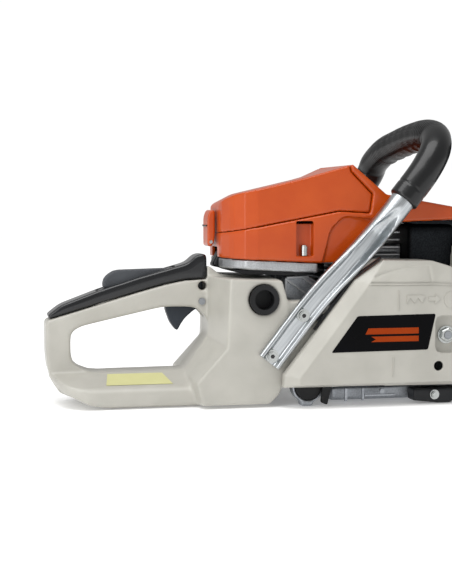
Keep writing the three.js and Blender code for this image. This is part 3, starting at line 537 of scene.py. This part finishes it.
pin_bore = groove([(-162, -24, 119), (-162, -16, 119), (-162, -6, 119)], 4.8)
softened("tank_housing", beige_nylon, 1.4, 16, handle_weight, grooves=[pin_bore])
softened("handle_cover", gloss_black, 1.0, 44)
softened("throttle_trigger", dark_nylon, 0.7, 8)
softened("throttle_lockout", grey_nylon, 0.7, 10)
cover_creases = [
    groove([(-7, -98, 124.6), (20, -98.3, 124.2), (50, -98.3, 124.0), (78, -98.3, 123.2),
        (105, -98.2, 116.6)], 1.9),
    groove([(-3, -95.2, 130), (14, -93.0, 135.5), (34, -91.4, 139.4), (55, -90.8, 141.6)], 1.5),
    groove([(56, -90.6, 142), (56.6, -94.5, 133.5), (57, -98.2, 125)], 1.6),
]
softened("clutch_cover", beige_nylon, 1.0, 3, grooves=cover_creases)
softened("cylinder_shroud", orange_nylon, 1.0, 2)
softened("filter_cover", orange_nylon, 1.0, 2, reshape=fallen_left)
softened("air_box", silver_casting, 1.2, 4)
softened("starter_housing", beige_nylon, 1.3, 6)
softened("crankcase_right", cast_magnesium, 1.6, 4)
softened("crankcase_left", cast_magnesium, 1.6, 4)
softened("hand_guard", black_nylon, 1.4, 8)
softened("muffler", muffler_black, 1.4, 4)
softened("cylinder", silver_casting, 0.9, 1)
softened("latch_lever", orange_nylon, 0.7, 6)
softened("choke_knob", black_nylon, 0.7, 8)
softened("chain_catcher", black_nylon, 1.0, 6)
softened("starter_handle", black_nylon, 0.7, 8)

# %% [markdown]
# The front handle is one aluminium tube. Above, it is round. Down the right side it is pressed flat into a
# channel with rolled edges, which is stiff and leaves room for the screw heads. The loft's ring goes from
# circle to channel along the way.

# %% Front handle tube
TUBE = 12.5
LEG_Y = -87.9
handle_line = [
    (-107, LEG_Y, 46), (-62, LEG_Y, 103), (-12, LEG_Y, 157), (28, LEG_Y, 206), (51, LEG_Y + 1, 235),
    (65, LEG_Y + 7, 257), (72, -62, 271), (70, -40, 275), (68, 0, 272.5), (66, 34, 268), (62, 62, 262),
    (57, 84, 250), (53, 95, 234), (26, 98, 192), (-10, 98, 150), (-50, 96, 82), (-68, 90, 50), (-75, 88, 26),
]
tube_path, tube_along = smooth_path(handle_line, 3)
leg_length = 209.0
# How far down the leg the pressing starts and is complete, then the channel's shape, in mm.
FLAT_FROM = 4
FLAT_TO = 110
BOWL_FROM = 8
BOWL_DEEP = 40
BOWL_WIDE = 44
BOWL_HALF = 5.2
BOWL_GAIN = 4.4
BOWL_EDGE = 4.6
ROLLED_RIM = -3.5
BOWL_FLOOR = -8.5
turn = np.linspace(0, 2 * math.pi, 64, endpoint=False)


def tube_ring(i):
    """Circle at the top, a shallow channel with rolled edges at the bottom."""
    down = leg_length - tube_along[i]
    flat = smooth_step(down, FLAT_FROM, FLAT_TO)
    sunk = smooth_step(down, BOWL_FROM, BOWL_DEEP)
    power = 1 - 0.45 * flat
    across = np.sign(np.cos(turn)) * np.abs(np.cos(turn)) ** power * (TUBE + 0.2 * flat)
    rim = TUBE + flat * (ROLLED_RIM - TUBE)
    middle = (rim - TUBE) / 2
    half = (rim + TUBE) / 2
    out = middle + np.sign(np.sin(turn)) * np.abs(np.sin(turn)) ** power * half
    edge = BOWL_HALF + BOWL_GAIN * smooth_step(down, BOWL_FROM, BOWL_WIDE)
    bowl = 1 - smooth_step(np.abs(across), edge - BOWL_EDGE, edge)
    depth = sunk * (rim - BOWL_FLOOR)
    out = np.where(np.sin(turn) > 0, out - depth * bowl, out)
    return np.stack([across, out], axis=1)


tube = link_piece("handle_tube_drawn", swept(tube_path, (0, -1, 0), tube_ring), drawn_aluminium, "root", 60)
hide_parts("front_handle_tube")
print("handle tube:", round(tube_along[-1]), "mm along its middle line")

# %% [markdown]
# The grip is a rubber sleeve pushed over the tube. Its lower end is a smooth collar with a parting line.
# Across the top it has finger waves underneath and fine ribs all round, so wet gloves hold. The same loft
# makes it: the ring's radius grows and shrinks along the path and round the ring.

# %% Front grip
# The sleeve's relief, and where along it each part of that starts and stops, in mm.
GRIP_LIP = 2.5
SLEEVE = 2.6
PARTING = 15
BAR_START = 78
WAVES_START = 96
WAVES_STOP = 214
BAR_STOP = 232
WAVE_STEP = 21
RIB_STEP = 3.2
grip_from = leg_length + 1
grip_to = leg_length + 356
fine_path, fine_along = smooth_path(handle_line, 1.0)
on_grip = np.where((fine_along >= grip_from) & (fine_along <= grip_to))[0]
grip_path = fine_path[on_grip]
grip_along = fine_along[on_grip] - grip_from


def grip_ring(i):
    """A round sleeve with a parting line low down, and waves, ribs and a seam across the top bar."""
    s = grip_along[i]
    lip = min(1.0, s / GRIP_LIP, (grip_along[-1] - s) / GRIP_LIP)
    radius = TUBE + 0.4 + SLEEVE * math.sqrt(max(0.0, 1 - (1 - lip) ** 2))
    radius -= 0.55 * math.exp(-(((s - PARTING) / 0.9) ** 2))
    bar = smooth_step(s, BAR_START, WAVES_START) * (1 - smooth_step(s, WAVES_STOP, BAR_STOP))
    wave = 0.5 - 0.5 * math.cos((s - WAVES_START) / WAVE_STEP * 2 * math.pi)
    under = np.clip(-np.sin(turn), 0, 1) ** 2
    swell = bar * under * (2.6 * wave - 1.2)
    ribs = bar * 0.35 * math.sin(s / RIB_STEP * 2 * math.pi)
    seam = -0.5 * np.exp(-(((turn - math.pi * 0.5) / 0.035) ** 2)) * bar
    total = radius + swell + ribs + seam
    return np.stack([np.cos(turn) * total, np.sin(turn) * total], axis=1)


grip = link_piece("handle_grip_sleeve", swept(grip_path, (-1, 0, 0.8), grip_ring), rubber_grip, "root", 60)
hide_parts("front_handle_grip")
print("grip:", round(grip_along[-1]), "mm long")

# %% [markdown]
# Screws, washers, labels and moulded marks are small plates. One tool makes them all: it draws an outline
# seen from the side, gives it a thickness across the saw, and rounds its edges with a bevel.

# %% Plate tool
def rounded_outline(corners, radius, steps=4):
    """The outline with each corner cut back and curved."""
    result = []
    count = len(corners)
    for i in range(count):
        here = Vector(corners[i])
        before = Vector(corners[i - 1])
        after = Vector(corners[(i + 1) % count])
        reach = min(radius, (before - here).length * 0.45, (after - here).length * 0.45)
        a = here + (before - here).normalized() * reach
        b = here + (after - here).normalized() * reach
        for t in np.linspace(0, 1, steps + 1):
            result.append(tuple((1 - t) ** 2 * a + 2 * t * (1 - t) * here + t**2 * b))
    return result


def circle(centre, radius, count=32):
    """A ring of points round a centre."""
    angles = [2 * math.pi * i / count for i in range(count)]
    return [(centre[0] + radius * math.cos(a), centre[1] + radius * math.sin(a)) for a in angles]


SAME_SIDE = 1e-9


def plate_mesh(outline, low, high, bevel=0.3):
    """A flat plate from low to high across the saw, with bevelled rims. Sizes are in mm."""
    shape = bmesh.new()
    ring = [shape.verts.new((x * MM, low * MM, z * MM)) for x, z in outline]
    base = shape.faces.new(ring)
    grown = bmesh.ops.extrude_face_region(shape, geom=[base])
    top = [item for item in grown["geom"] if isinstance(item, bmesh.types.BMVert)]
    bmesh.ops.translate(shape, verts=top, vec=(0.0, (high - low) * MM, 0.0))
    bmesh.ops.recalc_face_normals(shape, faces=shape.faces)
    if bevel:
        rims = [e for e in shape.edges if abs(e.verts[0].co.y - e.verts[1].co.y) < SAME_SIDE]
        bmesh.ops.bevel(shape, geom=rims, offset=bevel * MM, segments=2, affect="EDGES", clamp_overlap=True)
    mesh = bpy.data.meshes.new("plate")
    shape.to_mesh(mesh)
    shape.free()
    return mesh


def plate(name, outline, low, high, material, bevel):
    """A plate as a piece of its own, on the saw's body."""
    link_piece(name, plate_mesh(outline, low, high, bevel), material, "root", 35)


def joined(meshes):
    """Several meshes in one."""
    shape = bmesh.new()
    for mesh in meshes:
        shape.from_mesh(mesh)
    whole = bpy.data.meshes.new("joined")
    shape.to_mesh(whole)
    shape.free()
    return whole


# %% [markdown]
# Two pan-head screws with washers hold the leg. Each has a dark six-sided socket in its head, a thin black
# hexagon laid on the head: painted shade for the hollow.

# %% Handle screws
SCREW_SEAT = -79.6
WASHER_THICK = 1.0
HEAD_TOP = 3.4
SOCKET_RADIUS = 2.3
screw_places = {"handle_screw_upper": (-72, 92), "handle_screw_lower": (-104, 52)}


def screw_mesh(centre, seat, head=4.6, washer=6.6):
    """A pan-head screw on its washer, facing the saw's right."""
    disc = plate_mesh(circle(centre, washer), seat - WASHER_THICK, seat, 0.25)
    pan = plate_mesh(circle(centre, head), seat - HEAD_TOP, seat - WASHER_THICK, 0.9)
    return joined([disc, pan])


socket_shades = []
for name, place in screw_places.items():
    screw = link_piece(name + "_head", screw_mesh(place, SCREW_SEAT), zinc_plate, "root", 35)
    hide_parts(name)
    # The socket is a thin black hexagon laid on the head: painted shade for the hollow.
    socket_shades.append(plate_mesh(circle(place, SOCKET_RADIUS, 6), SCREW_SEAT - 3.46, SCREW_SEAT - 3.3, 0))
link_piece("handle_screw_sockets", joined(socket_shades), wire_black, "root")
print("screws ready")

# %% [markdown]
# The clutch cover carries a black film with two plain orange bars. A thin ledge and ribs are moulded on
# the cover, with an arrow that shows which way the chain runs. They stand 0.6 to 1 mm out and share the
# cover's nylon.

# %% Clutch cover film and marks
COVER = -98.0
MARK_TOP = COVER - 1.0
MARK_ROOT = COVER + 0.5
film_outline = rounded_outline([(-48, 56), (-21, 92), (61, 93), (53, 57)], 2)
plate("cover_film", film_outline, COVER - 0.35, COVER + 0.6, label_film, bevel=0.1)
bars = [
    plate_mesh([(-13, 73.5), (43, 73.5), (43, 79.6), (-10, 79.6)], COVER - 0.5, COVER, 0.05),
    plate_mesh([(-7, 65.8), (43, 65.8), (43, 71.3), (-7, 71.3), (-2, 68.5)], COVER - 0.5, COVER, 0.05),
]
link_piece("cover_film_bars", joined(bars), label_orange, "root")
marks = [
    plate_mesh([(20.9, 96.5), (22.1, 96.5), (22.1, 117), (20.9, 117)], MARK_TOP, MARK_ROOT, 0.3),
    plate_mesh([(15.6, 30.5), (16.8, 30.5), (17.2, 50), (16, 50)], MARK_TOP, MARK_ROOT, 0.3),
    plate_mesh([(53, 106), (60, 106), (60, 103), (66, 108), (60, 113), (60, 110), (53, 110)], MARK_TOP,
        MARK_ROOT, 0.25),
    plate_mesh([(30, 104), (34, 109), (38, 104), (42, 109), (46, 104), (49, 109), (49, 112), (30, 112)],
        MARK_TOP, MARK_ROOT, 0.25),
    plate_mesh(circle((78, 107), 8.5, 40), COVER - 0.6, MARK_ROOT, 0.25),
    plate_mesh([(-8.4, 124.6), (20, 124.0), (60, 124.0), (78, 122.8), (105.4, 116.1), (104.6, 114.6),
        (77.8, 121.0), (60, 122.2), (20, 122.2), (-9.6, 122.8)], COVER - 0.9, COVER + 1.0, 0.4),
]
link_piece("cover_marks", joined(marks), beige_nylon, "root")
print("cover film and marks ready")

# %% [markdown]
# The foot carries a blank yellow paper sticker on its slope. It is a sheet 0.3 mm thick, laid on the slope
# by its four corners.

# %% Foot sticker
STICKER_THICK = 0.3
foot_slope = [Vector(c) for c in ((-266, -50, 23.1), (-199, -50, 23.1), (-206, -24, 30.9), (-262, -24, 30.9))]
up = (foot_slope[1] - foot_slope[0]).cross(foot_slope[3] - foot_slope[0]).normalized()
sheet = bmesh.new()
low = [sheet.verts.new(c * MM) for c in foot_slope]
high = [sheet.verts.new((c + up * STICKER_THICK) * MM) for c in foot_slope]
sheet.faces.new(low)
sheet.faces.new(high)
for i in range(4):
    sheet.faces.new((low[i], low[(i + 1) % 4], high[(i + 1) % 4], high[i]))
bmesh.ops.recalc_face_normals(sheet, faces=sheet.faces)
sticker_mesh = bpy.data.meshes.new("foot_sticker")
sheet.to_mesh(sticker_mesh)
sheet.free()
link_piece("foot_sticker", sticker_mesh, sticker_yellow, "root")
print("sticker laid")

# %% [markdown]
# Between the tank and the air box the real saw has a dark tray, and above the silencer a heat shield. Both
# are plates with rounded corners, and both keep light from showing through. The crankcase has thin cast
# ribs on its rear web and along its bottom. The web's ribs get the lighter silver casting, a painted
# highlight for the light they catch over the shaded web.

# %% Trays, shields and ribs
tray_side = rounded_outline([(-137, 137), (-52, 132.4), (-52, 130.6), (-84, 130.8), (-128, 132.8)], 1)
plate("air_tray", tray_side, -50, 50, black_nylon, bevel=0.4)
shield_side = rounded_outline([(56, 182.8), (122, 182.0), (122, 184.2), (90, 186.0), (46, 184.6)], 1)
plate("silencer_shield", shield_side, -50, 50, muffler_black, bevel=0.4)


def rib(start, stop, half, low, high):
    """A straight rib between two points, half wide on each side."""
    a = Vector(start)
    b = Vector(stop)
    side = (b - a).orthogonal().normalized() * half
    return plate_mesh([tuple(a + side), tuple(b + side), tuple(b - side), tuple(a - side)], low, high, 0.3)


# The rear web's ribs use the lighter silver casting, not the crankcase's magnesium: a painted highlight for
# the light they catch.
web_ribs = [
    rib((-82, 127), (-50, 105), 1.1, -47.0, -42.6),
    rib((-64, 128.5), (-44, 115), 1.1, -47.0, -42.6),
    rib((-81, 108.5), (-81, 127), 1.0, -46.0, -42.6),
    rib((-80, 127.8), (-57, 128.8), 1.0, -46.0, -42.6),
]
link_piece("crankcase_web_ribs_painted_highlight", joined(web_ribs), silver_casting, "root")
bottom_ribs = [
    rib((-26, 4), (-26, 17), 1.4, -77.4, -74.6),
    rib((-8, 4), (-8, 17), 1.0, -77.4, -74.6),
    rib((-6, 9), (26, 9), 0.9, -77.2, -74.6),
    plate_mesh(circle((12, 13), 2.6, 24), -78.0, -74.6, 0.5),
]
link_piece("crankcase_bottom_ribs", joined(bottom_ribs), cast_magnesium, "root")
print("trays and ribs ready")

# %% [markdown]
# Behind the clutch cover's slanted edge a black strip fills the gap to the crankcase: painted shade for
# that gap.

# %% Painted shade behind the clutch cover
# Black plates in the gap behind the cover's slanted edge, as painted shade.
lip_line = [(-60.7, 77.3), (-20.6, 128.6), (8.4, 148.4)]
lip_far = [(7.6, 149.8), (-21.8, 129.9), (-61.9, 78.2)]
lip_near = [(-41.5, 101.7), (-20.6, 128.6), (-21.8, 129.9), (-42.6, 103.0)]
lips = [plate_mesh(lip_line + lip_far, -83.5, -78.6, 0.2), plate_mesh(lip_near, -79.0, -50.0, 0.2)]
link_piece("cover_gap_painted_shade", joined(lips), black_nylon, "root")
print("lip ready")

# %% [markdown]
# A rubber flap hangs beside the lower buffer and stops chips. A plug closes the round hole in each rear
# buffer, and a small screw holds the chain catcher.

# %% Flap, plugs and the chain catcher's screw
flap = rounded_outline([(-52, 20), (-53.5, 4), (-46.5, 1.0), (-42, 20)], 2)
plate("chip_flap", flap, -80, -77.4, rubber, bevel=0.6)
plate("buffer_plug_right", circle((-111, 108), 9.8, 40), -62.0, -60.0, rubber, bevel=0.6)
plate("buffer_plug_left", circle((-111, 108), 9.8, 40), 60.0, 62.0, rubber, bevel=0.6)
catcher_screw = screw_mesh((66, 9), -84.2, head=3.6, washer=5.0)
link_piece("catcher_screw", catcher_screw, zinc_plate, "root")
print("flap, plugs and screw ready")

# %% [markdown]
# The latch that holds the filter cover is a moulded lever with a sprung black wire round it and a rivet
# through each cheek. They ride on the latch, so they swing with it.

# %% Latch wire and rivets
WIRE_RADIUS = 0.8
wire_line = [(-156.6, -10, 181), (-157.2, -4, 180.4), (-157.2, 4, 180.4), (-156.6, 10, 181)]
wire_path, _ = smooth_path(wire_line, 1.0)
wire_ring = [(WIRE_RADIUS * math.cos(a), WIRE_RADIUS * math.sin(a)) for a in turn[::6]]
wire = swept(wire_path, (-1, 0, 0), lambda i: wire_ring)
link_piece("latch_wire", wire, wire_black, "latch", 60)
rivets = [plate_mesh(circle((-152.5, 164), 1.8, 20), *sorted((s * 12.4, s * 13.6)), 0.4) for s in (-1, 1)]
link_piece("latch_rivets", joined(rivets), zinc_plate, "latch")
print("latch ready")

# %% [markdown]
# The saw chain is made of drive links whose tangs run in the bar's groove, straps that tie them, and
# cutters, left and right by turns. Each link is a flat stamping, so each is an outline with a thickness.
# They are placed by arc length along the loop's pitch line: two straight runs, a large turn round the nose
# and a small one round the drum's sprocket.

# %% Chain loop
DRIVE_RADIUS = 21.02
NOSE_RADIUS = 26.28
NOSE_X = 470.535
AXIS_Z = 71.0
RIVET_STEP = 16.51 / 2
DRIVE_LINKS = 66
slope = math.asin((NOSE_RADIUS - DRIVE_RADIUS) / NOSE_X)
run = NOSE_X * math.cos(slope)
nose_turn = math.pi + 2 * slope
drive_turn = math.pi - 2 * slope
LOOP = 2 * run + NOSE_RADIUS * nose_turn + DRIVE_RADIUS * drive_turn
SCALE = LOOP / (2 * DRIVE_LINKS * RIVET_STEP)


def on_loop(s):
    """Point and outward direction at a distance s along the pitch line, in mm, starting above the drum."""
    s = s % LOOP
    tilt = math.pi / 2 + slope
    if s < run:
        out = Vector((math.cos(tilt), math.sin(tilt)))
        ahead = Vector((out.y, -out.x))
        return Vector((0, AXIS_Z)) + out * DRIVE_RADIUS + ahead * s, out
    s -= run
    if s < NOSE_RADIUS * nose_turn:
        angle = tilt - s / NOSE_RADIUS
        out = Vector((math.cos(angle), math.sin(angle)))
        return Vector((NOSE_X, AXIS_Z)) + out * NOSE_RADIUS, out
    s -= NOSE_RADIUS * nose_turn
    if s < run:
        out = Vector((math.cos(-tilt), math.sin(-tilt)))
        ahead = Vector((out.y, -out.x))
        return Vector((NOSE_X, AXIS_Z)) + out * NOSE_RADIUS + ahead * s, out
    s -= run
    angle = -tilt - s / DRIVE_RADIUS
    out = Vector((math.cos(angle), math.sin(angle)))
    return Vector((0, AXIS_Z)) + out * DRIVE_RADIUS, out


# %% [markdown]
# Each outline below is drawn on the loop's own axes: forward along the chain, and outward from the bar. A
# drive link and a pair of side links share two rivets. On each side, every fourth link is a cutter.

# %% Chain links
CHAIN_Y = -53.0
TANG_HALF = 0.62
RIVET_HALF = 2.75
SIDE_INNER = 0.8
SIDE_OUTER = 2.1
CUTTER_REACH = 3.2
TANG = [(-6.6, 2.4), (-4.2, 3.2), (0, 2.2), (4.2, 3.2), (6.6, 2.4), (7.0, -0.6), (4.6, -3.0), (2.4, -6.2),
    (-0.6, -8.0), (-2.0, -7.6), (-2.8, -5.2), (-5.6, -3.2), (-7.0, -0.8)]
STRAP = [(-7.2, 0), (-6.4, 2.6), (-4, 3.4), (0, 2.6), (4, 3.4), (6.4, 2.6), (7.2, 0), (6.2, -2.7), (3, -3.1),
    (-3, -3.1), (-6.2, -2.7)]
CUTTER = [(-7.2, 0), (-7.0, 5.6), (-6.2, 6.6), (-0.4, 7.0), (0.4, 6.4), (-0.6, 3.2), (1.0, 2.2), (2.6, 2.6),
    (3.4, 5.6), (5.4, 6.0), (6.6, 3.2), (7.2, 0), (6.2, -2.7), (3, -3.1), (-3, -3.1), (-6.2, -2.7)]
CUTTER_TOP = [(-6.9, 5.7), (-0.2, 6.2), (0.3, 7.0), (-6.9, 6.6)]
RIVET = circle((0, 0), 1.7, 10)
corners = []
faces = []


def stamp(outline, middle, out, low, high):
    """Adds one flat stamping to the chain, lying across the chain from low to high."""
    ahead = Vector((out.y, -out.x))
    start = len(corners)
    count = len(outline)
    for side in (low, high):
        for u, v in outline:
            spot = middle + ahead * u + out * v
            corners.append((spot.x * MM, (CHAIN_Y + side) * MM, spot.y * MM))
    faces.append(tuple(range(start, start + count)))
    faces.append(tuple(reversed(range(start + count, start + 2 * count))))
    for i in range(count):
        j = (i + 1) % count
        faces.append((start + j, start + i, start + count + i, start + count + j))


for i in range(2 * DRIVE_LINKS):
    middle, out = on_loop(i * RIVET_STEP * SCALE)
    stamp(RIVET, middle, out, -RIVET_HALF, RIVET_HALF)
for i in range(DRIVE_LINKS):
    middle, out = on_loop((2 * i + 0.5) * RIVET_STEP * SCALE)
    stamp(TANG, middle, out, -TANG_HALF, TANG_HALF)
    middle, out = on_loop((2 * i + 1.5) * RIVET_STEP * SCALE)
    for side, cutter_place in ((-1, 0), (1, 2)):
        low, high = sorted((side * SIDE_INNER, side * SIDE_OUTER))
        if i % 4 == cutter_place:
            stamp(CUTTER, middle, out, low, high)
            near, far = sorted((side * SIDE_INNER, side * CUTTER_REACH))
            stamp(CUTTER_TOP, middle, out, near, far)
        else:
            stamp(STRAP, middle, out, low, high)
chain_mesh = bpy.data.meshes.new("chain")
chain_mesh.from_pydata(corners, [], faces)
chain_mesh.validate()
chain = link_piece("chain_links", chain_mesh, dark_steel, "root", 30)
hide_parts("saw_chain")
print("chain:", len(chain_mesh.polygons), "faces, loop", round(LOOP, 1), "mm")

# %% [markdown]
# The bar is a ground steel plate with a rail on each edge. The rails are hardened and look darker, and
# four small rivets hold the nose. They are shallow plates on both faces of the bar.

# %% Bar rails and rivets
BAR_HALF = 1.95
RAIL_OUTER = 4.4
RAIL_INNER = 6.6
RAIL_START = 60
NOSE_RIVETS = [(438, 71), (447, 80), (447, 62), (456, 71)]
along_bar = [on_loop(s) for s in np.linspace(RAIL_START, run - 4, 40)]
outer_edge = [spot - out * RAIL_OUTER for spot, out in along_bar]
inner_edge = [spot - out * RAIL_INNER for spot, out in along_bar]
rails = []
for sign in (-1, 1):
    face = CHAIN_Y + sign * BAR_HALF
    near, far = sorted((face - sign * 0.2, face + sign * 0.16))
    for top in (1, -1):
        ring = [(p.x, AXIS_Z + top * (p.y - AXIS_Z)) for p in outer_edge + inner_edge[::-1]]
        rails.append(plate_mesh(ring, near, far, 0))
    for spot in NOSE_RIVETS:
        rails.append(plate_mesh(circle(spot, 2.4, 20), near - 0.1, far + 0.1, 0.15))
link_piece("bar_rails", joined(rails), rail_steel, "root")
print("bar rails ready")

# %% [markdown]
# The starter rope is a braided nylon cord, 3.2 mm thick, taut between the pulley and its handle. It leaves
# the housing straight up, so pulling the handle draws it out. Its lower end sits beside the pulley and its
# upper end at the handle.

# %% Starter rope
rope_x = -21.0
rope_y = 73.0
rope_low = 77.0
rope_high = 146.4
STRAND_LAY = 6.0
RING_STEP = 0.7
CORD_RADIUS = 1.48
STRAND_BUMP = 0.12
rope_path = np.array([(rope_x, rope_y, z) for z in np.arange(rope_low, rope_high, RING_STEP)])


def rope_ring(i):
    """Eight strands, as small bumps that wind round the cord."""
    around = np.linspace(0, 2 * math.pi, 24, endpoint=False)
    wind = 2 * math.pi * (rope_path[i][2] - rope_low) / STRAND_LAY
    radius = CORD_RADIUS + STRAND_BUMP * np.cos(4 * (around + wind)) * np.cos(4 * (around - wind))
    return np.stack([np.cos(around) * radius, np.sin(around) * radius], axis=1)


rope_mesh = swept(rope_path, (0, -1, 0), rope_ring)
rope_mesh.materials.append(cord_nylon)
rope_mesh.shade_smooth()
rope = bpy.data.objects.new("starter_rope_braided", rope_mesh)
bpy.context.scene.collection.objects.link(rope)
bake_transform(rope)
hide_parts("starter_rope")
print("rope:", round(rope_high - rope_low, 1), "mm between pulley and handle")

# %% [markdown]
# The rest of the frame's parts keep their shapes, because each is already the shape of the real stamping,
# casting or turned part. They get their finish by their material slots.

# %% Finishes of the parts that stay as they are
plain = {
    machined_steel: ["trigger_pin", "lockout_pin", "throttle_rod", "piston_pin", "connecting_rod",
        "crankshaft", "main_bearing_right", "main_bearing_left", "spark_plug", "clutch_drum", "clutch_hub",
        "brake_band", "tensioner_screw", "bar_stud_rear", "bar_stud_front", "nose_sprocket",
        "bumper_spikes"],
    rubber: ["rear_buffer_right", "rear_buffer_left", "front_buffer_right", "intake_boot",
        "spark_plug_boot"],
    black_nylon: ["stop_switch", "fuel_cap", "oil_cap", "starter_pulley", "air_filter", "ignition_coil"],
    silver_casting: ["carburettor", "flywheel", "piston"],
    zinc_plate: ["bar_nut_rear", "bar_nut_front", "shroud_screw"],
    ground_bar_steel: ["guide_bar"],
    sintered_bronze: ["oil_pump"],
}
for finish, names in plain.items():
    for name in names:
        for slot in nodes[name].material_slots:
            slot.material = finish
print("plain parts finished:", sum(len(names) for names in plain.values()))
